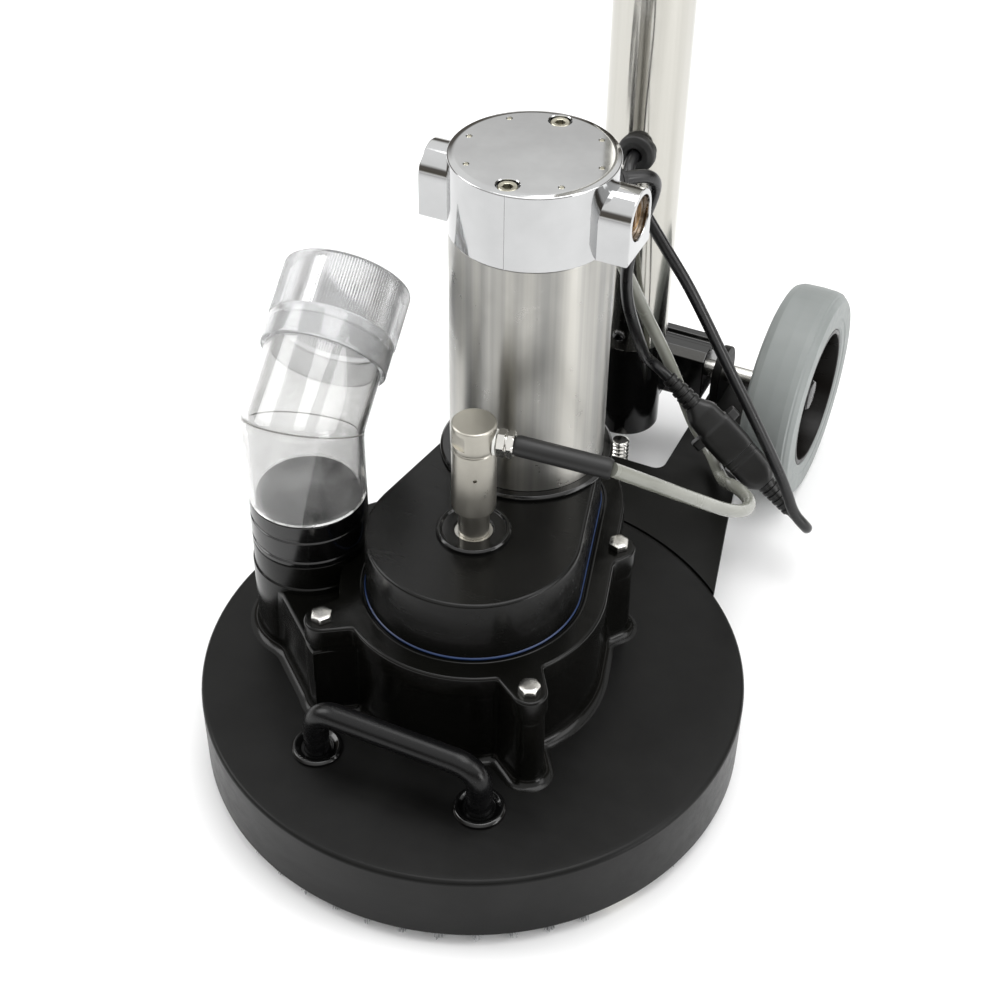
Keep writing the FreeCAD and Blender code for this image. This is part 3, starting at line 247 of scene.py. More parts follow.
cast_alloy = metal("cast_alloy", (0.5, 0.51, 0.52), 0.5, 0.9, 0.05, 0.12, 0.08)
copper = metal("windings", (0.42, 0.19, 0.10), 0.4, 0.5, 0.05, 0.25, 0.08, (1, 1, 20))

acrylic = clear("clear_acrylic", (0.80, 0.80, 0.795), 0.02, 1.49, 0.80, 0.99)
frosted = clear("frosted_ribs", (0.77, 0.775, 0.78), 0.10, 1.45, 0.74, 0.92)


def hose_look():
    look = Look("hose_wall")
    look.colours(look.noise(30, 2), (0.17, 0.173, 0.148), (0.215, 0.218, 0.19), 0.3, 0.7)
    look.vary("Roughness", look.noise(20, 3), 0.2, 0.3)
    look.set(IOR=1.42, Coat_Weight=0.3)
    return look.material


hose_cream = hose_look()

CAD_LOOKS = {
    "motor_magnets": magnet_grey, "motor_shaft": bright_steel, "motor_bearings": bright_steel,
    "armature": copper, "carbon_brushes": carbon_black, "driven_pulley": alloy, "drive_pulley": alloy,
    "timing_belt": belt_black, "hub_bearings": bright_steel, "spray_jets": brass_tone,
}


for node, holder in nodes.items():
    holder.data.materials.clear()
    holder.data.materials.append(CAD_LOOKS.get(node, case_black))


# ---------------- shapes


def rounded(points, radius, closed=False, steps=4):
    """A flat outline with its corners turned into arcs; a point may give its own radius."""
    count = len(points)
    made = []
    for n, point in enumerate(points):
        here = Vector(point[:2])
        reach = point[2] if len(point) > 2 else radius
        before, after = Vector(points[n - 1][:2]), Vector(points[(n + 1) % count][:2])
        back, ahead = before - here, after - here
        short = min(back.length, ahead.length)
        cut = 0
        if reach > 0 and short >= 1e-6 and (closed or 0 < n < count - 1):
            back.normalize()
            ahead.normalize()
            half = back.angle(ahead) / 2
            if half < 1.55:
                cut = min(reach / math.tan(half), 0.46 * short)
        if cut < 1e-4:
            made.append((here.x, here.y))
            continue
        size = cut * math.tan(half)
        middle = here + (back + ahead).normalized() * (size / math.sin(half))
        first = here + back * cut - middle
        last = here + ahead * cut - middle
        sweep = first.angle_signed(last)
        for step in range(steps + 1):
            angle = -sweep * step / steps
            c, s = math.cos(angle), math.sin(angle)
            made.append((middle.x + first.x * c - first.y * s, middle.y + first.x * s + first.y * c))
    return made


def shifted(outline, distance):
    """The outline moved outwards by a small distance, the same way at every corner."""
    count = len(outline)
    area = sum(outline[n][0] * outline[(n + 1) % count][1] - outline[(n + 1) % count][0] * outline[n][1]
               for n in range(count))
    sign = 1 if area > 0 else -1
    moved = []
    for n in range(count):
        before, here, after = (Vector(outline[k % count]) for k in (n - 1, n, n + 1))
        one, two = (here - before), (after - here)
        if one.length < 1e-9:
            one = two
        if two.length < 1e-9:
            two = one
        one.normalize()
        two.normalize()
        square = Vector((one.y, -one.x)) * sign
        normal = Vector((one.y + two.y, -one.x - two.x)) * sign
        if normal.length < 1e-6:
            normal = square.copy()
        normal.normalize()
        scale = 1 / max(0.5, normal.dot(square))
        moved.append((here.x + normal.x * distance * scale, here.y + normal.y * distance * scale))
    return moved


def settled(piece):
    """A new mesh of the piece as it now looks, its modifiers applied."""
    bpy.context.view_layer.update()
    return bpy.data.meshes.new_from_object(piece.evaluated_get(bpy.context.evaluated_depsgraph_get()))


def smooth(piece, sharp):
    """Smooth shading in which wide flat faces stay flat."""
    piece.data.shade_smooth()
    piece.data.set_sharp_from_angle(angle=math.radians(sharp))
    even = piece.modifiers.new("even", "WEIGHTED_NORMAL")
    even.keep_sharp = True
    even.weight = 60


class Shape:
    """Closed forms gathered into one mesh."""

    def __init__(self):
        self.points = []
        self.faces = []

    def rings(self, rings, place=None, loop=False):
        """Skins a row of rings that have the same number of points, and closes its ends unless it loops."""
        base, size, count = len(self.points), len(rings[0]), len(rings)
        for ring in rings:
            for point in ring:
                self.points.append(place @ Vector(point) if place else Vector(point))
        for n in range(count if loop else count - 1):
            low, high = base + n * size, base + (n + 1) % count * size
            for k in range(size):
                after = (k + 1) % size
                self.faces.append((low + k, low + after, high + after, high + k))
        if not loop:
            self.faces.append(tuple(base + k for k in reversed(range(size))))
            self.faces.append(tuple(base + (count - 1) * size + k for k in range(size)))
        return self

    def lathe(self, profile, place, loop=False, segments=96, shape=None):
        """Turns (radius, height) points about Z; shape(angle, radius, height) may change the radius."""
        rings = []
        for radius, height in profile:
            ring = []
            for k in range(segments):
                angle = 2 * math.pi * k / segments
                reach = shape(angle, radius, height) if shape else radius
                ring.append((reach * math.cos(angle), reach * math.sin(angle), height))
            rings.append(ring)
        return self.rings(rings, place, loop)

    def turned(self, outline, edge, place, segments, steps=4):
        """Turns a closed outline, its corners rounded to this edge, about Z."""
        return self.lathe(rounded(outline, edge, closed=True, steps=steps), place, True, segments)

    def prism(self, outline, low, high, place, edge=0.6):
        """An outline raised from low to high, with softened edges."""
        rings = []
        levels = [(low, -edge), (low + 0.3 * edge, -0.3 * edge), (low + edge, 0),
                  (high - edge, 0), (high - 0.3 * edge, -0.3 * edge), (high, -edge)]
        for height, inset in levels:
            rings.append([(x, y, height) for x, y in shifted(outline, inset)])
        return self.rings(rings, place)

    def sweep(self, path, radius, segments):
        """A tube along points in metres; radius is a number or a function of the length so far."""
        rings = []
        travelled = 0.0
        tangent = (path[1] - path[0]).normalized()
        side = tangent.orthogonal().normalized()
        for n, point in enumerate(path):
            if n:
                travelled += (point - path[n - 1]).length
            ahead = path[min(n + 1, len(path) - 1)] - path[max(n - 1, 0)]
            ahead.normalize()
            side = tangent.rotation_difference(ahead) @ side
            tangent = ahead
            up = tangent.cross(side)
            reach = radius(travelled) if callable(radius) else radius
            ring = []
            for k in range(segments):
                angle = 2 * math.pi * k / segments
                ring.append(point + (side * math.cos(angle) + up * math.sin(angle)) * reach)
            rings.append(ring)
        return self.rings(rings)

    def make(self, name, material, body, replaced=(), sharp=34):
        mesh = bpy.data.meshes.new(name)
        mesh.from_pydata([tuple(p) for p in self.points], [], self.faces)
        mesh.validate()
        work = bmesh.new()
        work.from_mesh(mesh)
        bmesh.ops.remove_doubles(work, verts=work.verts, dist=1e-7)
        bmesh.ops.recalc_face_normals(work, faces=work.faces)
        work.to_mesh(mesh)
        work.free()
        mesh.materials.append(material)
        piece = bpy.data.objects.new(name, mesh)
        scene.collection.objects.link(piece)
        smooth(piece, sharp)
        if body:
            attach(piece, body)
        if replaced:
            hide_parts(*replaced)
        return piece


def disc_profile(radius, low, high, edge):
    """A solid turned block's profile with soft edges, open at the axis."""
    return rounded(block(0.01, low, radius, high), edge)


def carve(piece, tools, how="DIFFERENCE", sharp=34):
    """Cuts the tools from a piece, or joins them to it, and keeps the result as its mesh."""
    piece.modifiers.clear()
    for tool in tools:
        tool.modifiers.clear()
        modifier = piece.modifiers.new("carve", "BOOLEAN")
        modifier.operation = how
        modifier.solver = "EXACT"
        modifier.object = tool
    carved = settled(piece)
    piece.modifiers.clear()
    piece.data = carved
    smooth(piece, sharp)
    for tool in tools:
        bpy.data.objects.remove(tool)
    return piece


def blank(shape):
    """A tool for carve, which isn't a piece of its own."""
    return shape.make("tool", case_black, None)


def bored(profile, places, segments):
    """Tools for carve that cut a turned profile at each place."""
    return [blank(Shape().lathe(profile, place, segments=segments)) for place in places]


def hexagon(circumradius, below=math.inf):
    """A turning shape with six flats where the profile's radius is below this, and never wider than it."""
    flat = circumradius * math.cos(math.pi / 6)

    def reach(angle, radius, height):
        turn = (angle + math.pi / 6) % (math.pi / 3) - math.pi / 6
        return min(radius, flat / math.cos(turn)) if radius < below else radius

    return reach


# ---------------- deck

deck = Shape().turned([
    (26, 53), (26, 57), (157.5, 57, 1), (158.5, 57.0, 1), (165, 57, 3.2), (165, 9, 1.6), (161, 9, 1.2),
    (161, 53, 4),
], 0.5, at(), 288, steps=5)
deck.make("deck", deck_top, "root", ["deck_shell"])

tail_outline = rounded([
    (112.4, 121), (98, 187), (88, 236, 6), (76, 243, 4), (70, 350, 5), (38, 350, 3), (38, 222, 7),
    (-38, 222, 7), (-38, 350, 3), (-70, 350, 5), (-76, 243, 4), (-88, 236, 6), (-98, 187), (-112.4, 121),
], 20)
tail_outline += [polar(165.2, 132.0 - 3.0 * n) for n in range(29)]
tail = Shape().prism(tail_outline, 51, 57, at(), 0.5)
tail.prism(block(-12, 214, 12, 252), 26, 30, at(), 0.8)
tail.prism(block(-12, 214, 12, 218), 28, 53, at(), 0.6)
tail.make("tail_plate", tail_black, "root", ["chassis_tail"])


def thread(core, crest, pitch):
    """A turning shape that winds a thread round the part of a profile that is as wide as its crest."""

    def reach(angle, radius, height):
        if radius < crest - 0.01:
            return radius
        wave = (height / pitch - angle / (2 * math.pi)) % 1
        return core + (crest - core) * min(1, 2.6 * min(wave, 1 - wave))

    return reach


screw_profile = [(0.01, 20), (3.9, 20), (3.9, 29.9)]
screw_profile += [(6.5, 30 + 0.35 * n) for n in range(76)] + [(5.4, 57.1), (4.4, 57.5), (0.01, 57.5)]
Shape().lathe(screw_profile, at(0, 240, 0), segments=48, shape=thread(5.2, 6.5, 3.2)).make(
    "stop_thread", bright_steel, "root", ["stop_screw"])

# ---------------- lift handle

foot, height, corner = 57.5, 90.0, 14.0
half = [(-LIFT_X, foot), (-LIFT_X, 68)]
for step in range(11):
    turn = math.radians(9 * step)
    half.append((-LIFT_X + corner * (1 - math.cos(turn)), height - corner * (1 - math.sin(turn))))
bar_path = [spot(x, LIFT_Y, z) for x, z in half + [(-x, z) for x, z in reversed(half)]]
satin_black = plastic("satin_coat", (0.003, 0.003, 0.0032), 0.27, 0.7, 0.015, 0.15, shine=0.25)
Shape().sweep(bar_path, 7.5 * MM, 48).make("lift_bar", satin_black, "root", ["lift_handle"])
dish = [
    (7.55, 57.1), (15.2, 57.1, 0.4), (15.1, 58.6, 0.8), (13.9, 60, 1.2), (12.4, 60, 0.8), (9.4, 58, 0.8),
    (7.55, 57.8),
]
washers = Shape()
for x in (-LIFT_X, LIFT_X):
    washers.turned(dish, 0.3, at(x, LIFT_Y, 0), 72)
washers.make("dished_washers", gloss_black, "root", ["lift_handle_washers"])

# ---------------- belt case

EARS = [math.radians(angle) for angle in (45, 135, 225, 315)]


def soft_min(first, second, blend):
    """The nearer of two distances, with a fillet where they meet."""
    share = np.clip(0.5 + 0.5 * (second - first) / blend, 0, 1)
    return second * (1 - share) + first * share - blend * share * (1 - share)


def taut(onward, wide, gap, first, last):
    """Distance to two circles this far apart, in one taut loop; below zero inside."""
    lean = (first - last) / gap
    steep = math.sqrt(1 - lean * lean)
    along = steep * onward - lean * wide
    side = steep * wide + lean * onward - first
    near = np.hypot(wide, onward) - first
    far = np.hypot(wide, onward - gap) - last
    return np.where(along < 0, near, np.where(along > steep * gap, far, side))


def teardrop(x, y, front, back):
    """The loop about the spindle and the motor."""
    gap = MOTOR.length
    wide = np.abs(x * MOTOR.y - y * MOTOR.x) / gap
    return taut((x * MOTOR.x + y * MOTOR.y) / gap, wide, gap, front, back)


def lug(x, y, angle, radius, start=56.0):
    """A lug that narrows from the case's wall to the round end about its bolt."""
    ax, ay = math.cos(angle), math.sin(angle)
    return taut(x * ax + y * ay - start, np.abs(x * ay - y * ax), EAR_REACH - start, radius + 7.5, radius)


def convex(x, y, corners):
    """Distance to the furthest of a convex outline's sides; below zero inside."""
    sides = []
    for (ax, ay), (bx, by) in zip(corners, corners[1:] + corners[:1]):
        sides.append(((x - ax) * (by - ay) - (y - ay) * (bx - ax)) / math.hypot(bx - ax, by - ay))
    return np.maximum.reduce(sides)


def lip(front, back):
    return lambda x, y: teardrop(x, y, front, back)


def eared(front, back, radius):
    """The case's loop with its four lugs."""
    def field(x, y):
        made = teardrop(x, y, front, back)
        for angle in EARS:
            made = soft_min(made, lug(x, y, angle, radius), 2.5)
        return made

    return field


WEB = [(-110, -40), (-65, -78), (-30, -40), (-30, 40), (-62, 66), (-110, 30)]


wall = eared(77, 60, 9.6)


def footed(x, y):
    """The case's wall joined to the suction port by its web."""
    made = soft_min(wall(x, y), convex(x, y, WEB), 3.0)
    return soft_min(made, np.hypot(x - PORT[0], y - PORT[1]) - 36.0, 3.0)


def level(field, grow, height, count=1200):
    """The outline, seen from the deck's axis, where the field is this far out."""
    angles = np.linspace(0, 2 * math.pi, count, endpoint=False)[:, None]
    reach = np.arange(20.0, 172.0, 0.5)[None, :]
    values = field(reach * np.cos(angles), reach * np.sin(angles)) - grow
    last = values.shape[1] - 1 - np.argmax(values[:, ::-1] < 0, axis=1)
    rows = np.arange(count)
    inner = values[rows, last]
    outer = values[rows, np.minimum(last + 1, values.shape[1] - 1)]
    exact = reach[0, last] + 0.5 * inner / (inner - outer)
    flat = angles[:, 0]
    return [(r * math.cos(a), r * math.sin(a), height) for r, a in zip(exact, flat)]


def stack(field, levels):
    """A field's outlines at each (height, growth)."""
    return [level(field, grow, height) for height, grow in levels]


flare = [(63 - x, 6 - y) for x, y in (polar(6, a) for a in range(0, 91, 15))]
lower = Shape()
lower.rings(stack(footed, flare + [(84, -0.2), (105.5, -0.5), (106.8, -0.8), (107.7, -1.5), (108, -2.6)]),
            at())
lower.rings(stack(wall, [(104, -0.6), (110.2, -0.6), (110.45, -1.3), (111.2, -1.3)]), at())
lower.turned([(31, 57), (36, 57), (36, 111.5, 1), (35.1, 112.4, 0.3), (35, 128.9, 0.8), (31, 128.9, 0.5)],
             0.3, at(*PORT), 144)
lower.make("lower_case", case_black, "root", ["case_lower"])

flange = eared(79, 62, 10.6)
flange_rings = stack(flange, [(111.1, -1.0), (111.5, -0.3), (112.1, 0), (123.3, -0.2), (124.2, -0.5),
                              (124.75, -1.1), (125, -2.0)])
for front, back, height in ((67.2, 50.7, 125.0), (66.4, 49.9, 125.4), (65.7, 49.2, 125.3),
                            (65.2, 48.7, 124.4), (60, 44, 124.2)):
    flange_rings.append(level(lip(front, back), 0, height))
Shape().rings(flange_rings, at()).make("flange", case_black, "root", ["case_flange"])
bead = lip(63.4, 46.9)
Shape().rings(stack(bead, [(124.3, 0), (124.9, 0.4), (125.5, 0.45), (126.0, 0.1), (126.4, -0.8)]),
              at()).make(
    "gasket_bead", gasket_blue, "root", ["case_gasket"])
cover = lip(63.0, 46.5)
cover_rings = stack(cover, [(125.9, -0.5), (126.2, 0.3), (127.4, 0.25), (128.2, 0), (146, -0.25),
                            (162.6, -0.5), (163.6, -0.75), (164.3, -1.25), (164.8, -2.0), (COVER_TOP, -3.1)])
Shape().rings(cover_rings, at()).make("cover", cover_black, "root", ["belt_cover"])

bolts = Shape()
for angle in EARS:
    place = at(EAR_REACH * math.cos(angle), EAR_REACH * math.sin(angle), CASE_TOP,
               twist=math.degrees(angle) * 1.7)
    head = [(0.01, 0), (5.2, 0), (7, 0.35), (7, 3.3), (6.0, 4.0), (5.0, 4.35), (3.0, 4.5), (0.01, 4.5)]
    bolts.lathe(head, place, segments=72, shape=hexagon(6.4))
bolts.make("hex_bolts", bright_steel, "root", ["case_bolts"])

# ---------------- suction elbow

collar = Shape().turned([
    (28.5, 117), (30.9, 117), (30.9, 129.4), (35, 129.4, 0.6), (35, 132.2, 0.4), (34.1, 132.9, 0.2),
    (34.1, 134.3, 0.2), (35, 135, 0.4), (35, 147.6, 0.4), (34.2, 148.2, 0.3), (34.2, 150, 0.3),
    (35, 150.6, 0.5), (35, 160.6, 1.2), (33.2, 161, 0.3), (28.5, 161, 0.4),
], 0.3, at(*PORT), 144)
collar.make("bayonet_collar", gloss_black, "elbow", ["swivel_collar"])

tilt, heading = math.radians(60.0), math.radians(98.5)
ELBOW = Vector((math.sin(tilt) * math.cos(heading), math.sin(tilt) * math.sin(heading), math.cos(tilt)))
BEND = 209.0
MITRE = (UP + ELBOW).normalized()


def wall_lines(radius, count=144):
    """Points round the pipe, each with the height above the bend where its line meets the mitre."""
    lines = []
    for k in range(count):
        angle = 2 * math.pi * k / count
        out = Vector((math.cos(angle), math.sin(angle), 0)) * radius
        lines.append((out, -MITRE.dot(out) / MITRE.dot(UP)))
    return lines


def mitred(radius, soft, low=161.1, high=54.0):
    """Rings up a pipe that turns a sharp corner at the bend, softened a little."""
    turn = UP.rotation_difference(ELBOW)
    lines = wall_lines(radius)
    middle = Vector((0, 0, BEND))
    rings = []
    for height in (low, low + 0.6, low + 20):
        rings.append([middle + out + UP * (height - BEND) for out, meet in lines])
    for step in range(7):
        t = step / 6
        ring = []
        for out, meet in lines:
            knee = middle + out + UP * meet
            before, after = knee - UP * soft, knee + ELBOW * soft
            ring.append(before * (1 - t) ** 2 + knee * 2 * t * (1 - t) + after * t ** 2)
        rings.append(ring)
    rings.append([middle + turn @ out + ELBOW * high for out, meet in lines])
    return rings


elbow = Shape().rings(mitred(35.0, 4.0) + mitred(31.6, 5.0)[::-1], at(*PORT), loop=True)
elbow.make("clear_elbow", acrylic, "elbow", ["vacuum_elbow"])
seam = [[out + UP * (BEND + lift + meet) for out, meet in wall_lines(radius)]
        for radius, lift in block(31.8, -0.5, 32.8, 0.5)]
Shape().rings(seam, at(*PORT), loop=True).make("bend_seam", seam_grey, "elbow", ["vacuum_elbow"])

RIBS = 140


def ribbed(angle, radius, height):
    """Fine ribs along the cuff's wide part."""
    if radius < 37.9 or height < 59.2 or height > 92.6:
        return radius
    return radius - 0.45 + 0.45 * math.cos(angle * RIBS)


cuff_profile = [(35.08, 40.2), (37.0, 40.2), (37.6, 40.8), (37.8, 42), (37.8, 57.6), (37.4, 58.4),
                (37.4, 59.2), (38.3, 59.8), (38.3, 75), (38.3, 92.2), (37.8, 93.2), (36.8, 93.9), (33, 94),
                (32.2, 93.6), (31.8, 92.6), (31.8, 56), (32.2, 55), (35.08, 55)]
Shape().lathe(cuff_profile, at(*PORT, BEND, ELBOW), loop=True, segments=RIBS * 6, shape=ribbed).make(
    "ribbed_cuff", frosted, "cuff", ["hose_cuff"])

# ---------------- motor

BRUSHES = [(side, at(*MOTOR, BRUSH_HEIGHT, (side, 0, 0))) for side in (1, -1)]


def on_cap(angle, reach):
    """A place on the cap's top, this far out from the motor's axis."""
    x, y = polar(reach, angle)
    return at(MOTOR.x + x, MOTOR.y + y, CAP_TOP)


SCREWS = [on_cap(angle, 37) for angle in (92, 272)]
PINS = [on_cap(angle, 38.5) for angle in (0, 45, 135, 180, 225, 315)]

cap_profile = rounded([(0.01, 319.2), (46.8, 319.2, 0.6), (46.8, CAP_TOP - 0.8, 1), (43.5, CAP_TOP, 8),
                       (0.01, CAP_TOP)], 0.5, steps=10)
cap = Shape().lathe(cap_profile, at(*MOTOR), segments=192).make(
    "polished_cap", chrome_cap, "root", ["motor_end_cap"])
arch = [(-22, -16), (-22, 16)] + [polar(16, a)[::-1] for a in range(0, 181, 6)]
carve(cap, [blank(Shape().prism([(-side * x, y) for x, y in arch], 38, 62, place, 0.9))
            for side, place in BRUSHES], "UNION")
tools = bored([(0.01, 56), (12.5, 56), (12.5, 61.4), (13.3, 62.6), (0.01, 62.6)],
              [place for side, place in BRUSHES], 72)
tools += bored([(0.01, -4.9), (6.35, -4.9), (6.35, -0.5), (7.0, 0.3), (7.0, 1), (0.01, 1)], SCREWS, 48)
tools += bored([(0.01, -2.9), (1.5, -2.6), (1.6, -0.4), (1.9, 0.1), (1.9, 1), (0.01, 1)], PINS, 24)
tools.append(blank(Shape().prism(block(46.3, -0.3, 48.5, 0.3), 316, 368, at(*MOTOR, twist=-85), 0.05)))
carve(cap, tools)

screws = Shape()
for place in SCREWS:
    screws.lathe([(2.9, -4.4), (5.4, -4.6), (5.5, -1.3), (4.9, -0.7), (3.2, -0.7), (2.9, -1.0)], place,
                 segments=48, loop=True, shape=hexagon(2.9, below=2.95))
for place in PINS:
    screws.lathe([(0.01, -2.6), (1.45, -2.6), (1.45, -0.5), (1.1, -0.15), (0.01, -0.05)], place, segments=24)
screws.make("cap_screws", brass_tone, "root", ["motor_cap_screws"])

Shape().turned(block(42.4, 168.1, 46.3, 319), 0.3, at(*MOTOR), 192).make(
    "polished_shell", shell_metal, "root", ["motor_shell"])
bell = [(16, 165.1), (52.2, 165.1, 0.8), (52.2, 166.8, 0.8), (50.6, 168, 0.6), (42.2, 168),
        (42.2, 176), (22, 176), (22, 182), (16, 182)]
Shape().turned(bell, 0.4, at(*MOTOR), 144).make("motor_seat", gloss_black, "root", ["motor_end_bell"])

caps = Shape()
for side, place in BRUSHES:
    caps.lathe(rounded([(0.01, 56.1), (12.2, 56.1), (12.2, 58.4, 0.5), (8.2, 58.9, 0.4), (7.6, 57.6, 0.3),
                        (0.01, 57.6)], 0.3), place, segments=72)
    caps.prism(block(-5.6, -1.1, 5.6, 1.1), 57.2, 59.2, place, 0.3)
caps.make("slotted_caps", dark_bronze, "root", ["brush_caps"])

# ---------------- spindle and water swivel

hub = [(4, 24), (12.5, 24), (12.5, 30), (30, 30), (30, 36, 1), (15, 36), (15, 59), (12.5, 59), (12.5, 165.5),
       (4, 165.5)]
Shape().turned(hub, 0.2, at(), 72).make("spindle", bright_steel, "spin_head", ["hub_shaft"])
seal = [(14.5, 165.05), (21.6, 165.05, 0.2), (21.6, 166.8, 0.6), (20.5, 168, 0.7), (19.2, 167.9, 0.4),
        (18.3, 166.7, 0.6), (12, 166.5, 0.4), (11.1, 166.2, 0.2), (11.1, 165.8), (14.5, 165.8)]
Shape().turned(seal, 0.2, at(), 96).make("seal_ring", gloss_black, "root", ["spindle_seal"])
stem = [(4, 165.6), (8.9, 165.6, 0.2), (8.9, 183.5, 0.3), (6, 183.5), (6, 220), (4, 220)]
Shape().turned(stem, 0.2, at(), 96).make("swivel_neck", swivel_steel, "spin_head", ["swivel_stem"])


def flats(angle, radius, height):
    """Two spanner flats near the barrel's top."""
    if not 231.4 < height < 240.6:
        return radius
    turn = abs(math.sin(angle - math.radians(-24)))
    return min(radius, 11.3 / max(turn, 0.01))


body_profile = [(6.06, 184.1), (11.8, 184.1), (12.5, 184.7), (12.65, 185.4), (12.65, 226.2), (12.35, 226.9),
                (12.1, 227.3), (12.1, 227.9), (12.35, 228.3), (12.65, 228.9), (12.65, 231.35),
                (12.65, 231.45), (12.65, 240.55), (12.65, 240.65), (12.65, 242.8), (12.3, 243.5),
                (11.6, 243.95), (0.01, 244)]
swivel = Shape().lathe(body_profile, at(), segments=144, shape=flats)
swivel = swivel.make("swivel_barrel", swivel_steel, "root", ["swivel_body"], sharp=28)
weep = at(*polar(12, -62), 212, (*polar(1, -62), 0))
carve(swivel, bored(block(0.01, -1, 1.1, 3), [weep], 20), sharp=28)

FITTING = Vector((0.976, 0.217, 0))
fitting = at(0, 0, 232, FITTING)
Shape().lathe(disc_profile(7.4, 11.2, 12.8, 0.4), fitting, segments=64).make(
    "nylon_washer", nylon_white, "root", ["hose_washer"])
nut_profile = [(0.01, 12.85), (6.2, 12.85), (8, 13.7), (8, 17.4), (7.1, 17.9), (6.1, 18.1), (6.1, 18.7),
               (7.1, 18.9), (8, 19.4), (8, 21.9), (6.6, 22.75), (0.01, 22.75)]
Shape().lathe(nut_profile, fitting, segments=72, shape=hexagon(8)).make(
    "hose_hex", bright_steel, "root", ["hose_nut"])
near, far = spot(22.2, 5.0, 232), spot(75.3, 15.3, 226)
boot = far - near


def boot_radius(travelled):
    """The boot's radius, a little less at its ends."""
    ends = min(travelled, boot.length - travelled)
    return (6.0 - 0.8 * max(0, 1 - ends / 0.0012)) * MM


shares = [0, 0.006] + [n / 24 for n in range(1, 24)] + [0.994]
Shape().sweep([near + boot * share for share in shares] + [far], boot_radius, 40).make(
    "hose_boot", rubber_black, "root", ["hose_sleeve"])

# ---------------- head under the deck

BAR_TURNS = (87, 207, 327)
glides = Shape()
for turn in BAR_TURNS:
    glides.prism(rounded(block(60, -11, 158, 11), 5, closed=True), 0, 24, at(twist=turn), 1.6)
glides = glides.make("floor_shoes", glide_pale, "spin_head", ["vacuum_glides"])
plate = Shape().turned([(12.6, 24), (159, 24, 1), (159, 30, 1.5), (12.6, 30)], 0.3, at(), 192)
plate = plate.make("spinning_plate", cast_alloy, "spin_head", ["head_plate"])
for piece, low, high in ((glides, -2, 30), (plate, 20, 34)):
    carve(piece, [blank(Shape().prism(block(66, -1.9, 152, 1.9), low, high, at(twist=turn), 0.2))
                  for turn in BAR_TURNS])

chance = random.Random(7)
bristles = Shape()
for ring, count in BRISTLE_RINGS:
    worn = 1.028 if ring > 150 else 1.0
    for number in range(count):
        angle = 360.0 * (number + 0.5) / count
        if abs((angle - BAR_TURNS[0] + 60) % 120 - 60) < 8:
            continue
        cx, cy = polar(ring, angle)
        for strand in range(26):
            out, turn = 2.5 * math.sqrt(chance.random()), chance.uniform(0, 2 * math.pi)
            x, y = cx + out * math.cos(turn), cy + out * math.sin(turn)
            splay = chance.uniform(0.9, 1.28)
            tip_x, tip_y = (cx + (x - cx) * splay) * worn, (cy + (y - cy) * splay) * worn
            low = chance.uniform(0.5, 2.2)
            rings = []
            for height, share, thick in ((24.2, 0, 0.34), (12, 0.4, 0.33), (low, 1, 0.2)):
                px, py = x + (tip_x - x) * share, y + (tip_y - y) * share
                rings.append([(px + thick * math.cos(a), py + thick * math.sin(a), height)
                              for a in (0.3, 1.87, 3.44, 5.01)])
            bristles.rings(rings[::-1], at())
bristles.make("bristles", bristle_grey, "spin_head", ["brush_tufts"], sharp=80)

# ---------------- wheels and axle

TREAD = [
    (50.1, -19, 0.4), (68, -19, 2), (73.4, -17, 3), (75.6, -12, 5), (76, 0, 20), (75.6, 10, 5),
    (74.6, 14.4, 1), (73.4, 15.2, 0.8), (72.8, 16.4, 1.4), (70, 19, 2.4), (58, 19, 1), (57, 18.4, 0.5),
    (52, 18.4, 0.8), (50.1, 17.6, 0.4),
]
DISH = [
    (6.42, -21), (13.9, -21, 1), (13.9, -19, 1), (50, -19, 0.4), (50, 17.7, 1), (46.6, 17.9, 1),
    (44.4, 4, 4), (44, -11.8, 5), (14.4, -11.8, 3), (13.6, 7.9, 1), (6.42, 7.9, 0.4),
]
for name, side in (("right", 1), ("left", -1)):
    place = at(side * 99, *AXLE, (side, 0, 0))
    Shape().turned(TREAD, 1, place, 192).make(
        "tyre_ring_" + name, tyre_grey, "wheel_" + name, ["tyre_" + name])
    Shape().turned(DISH, 0.5, place, 144).make(
        "wheel_dish_" + name, hub_black, "wheel_" + name, ["wheel_hub_" + name])

Shape().lathe(disc_profile(6.3, -109.4, 109.4, 0.9), at(0, *AXLE, (1, 0, 0)), segments=64).make(
    "axle_rod", bright_steel, "root", ["wheel_axle"])
collars = Shape()
for x in (74.5, -77.5):
    collars.turned([(6.32, 0), (11, 0, 0.6), (11, 3, 0.6), (6.32, 3)], 0.2, at(x, *AXLE, (1, 0, 0)), 64)
domed = [(6.45, 107.6), (11, 107.6), (11, 110.6), (10, 111.9), (7, 112.4), (0.01, 112.5), (0.01, 109.7),
         (6.45, 109.7)]
for side in (1, -1):
    collars.lathe(domed, at(0, *AXLE, (side, 0, 0)), loop=True, segments=64)
collars.make("axle_rings", satin_black, "root", ["axle_collars"])
SIDE = Matrix(((0, 0, 1, 0), (1, 0, 0, 0), (0, 1, 0, 0), (0, 0, 0, 1)))


def sideways(x, y, z):
    """Lays an outline's first axis along Y and its second along Z, and raises it along X."""
    return Matrix.Translation(spot(x, y, z)) @ Matrix.Scale(MM, 4) @ SIDE


brackets = Shape()
bracket = [(19, 0)] + [(x, y + 19) for x, y in (polar(19, a) for a in range(0, 181, 6))] + [(-19, 0)]
for x in (42, -48):
    brackets.prism(bracket, 0, 6, sideways(x, AXLE[0], 57), 0.7)
brackets.make("axle_plates", tail_black, "root", ["axle_brackets"])

# ---------------- handle

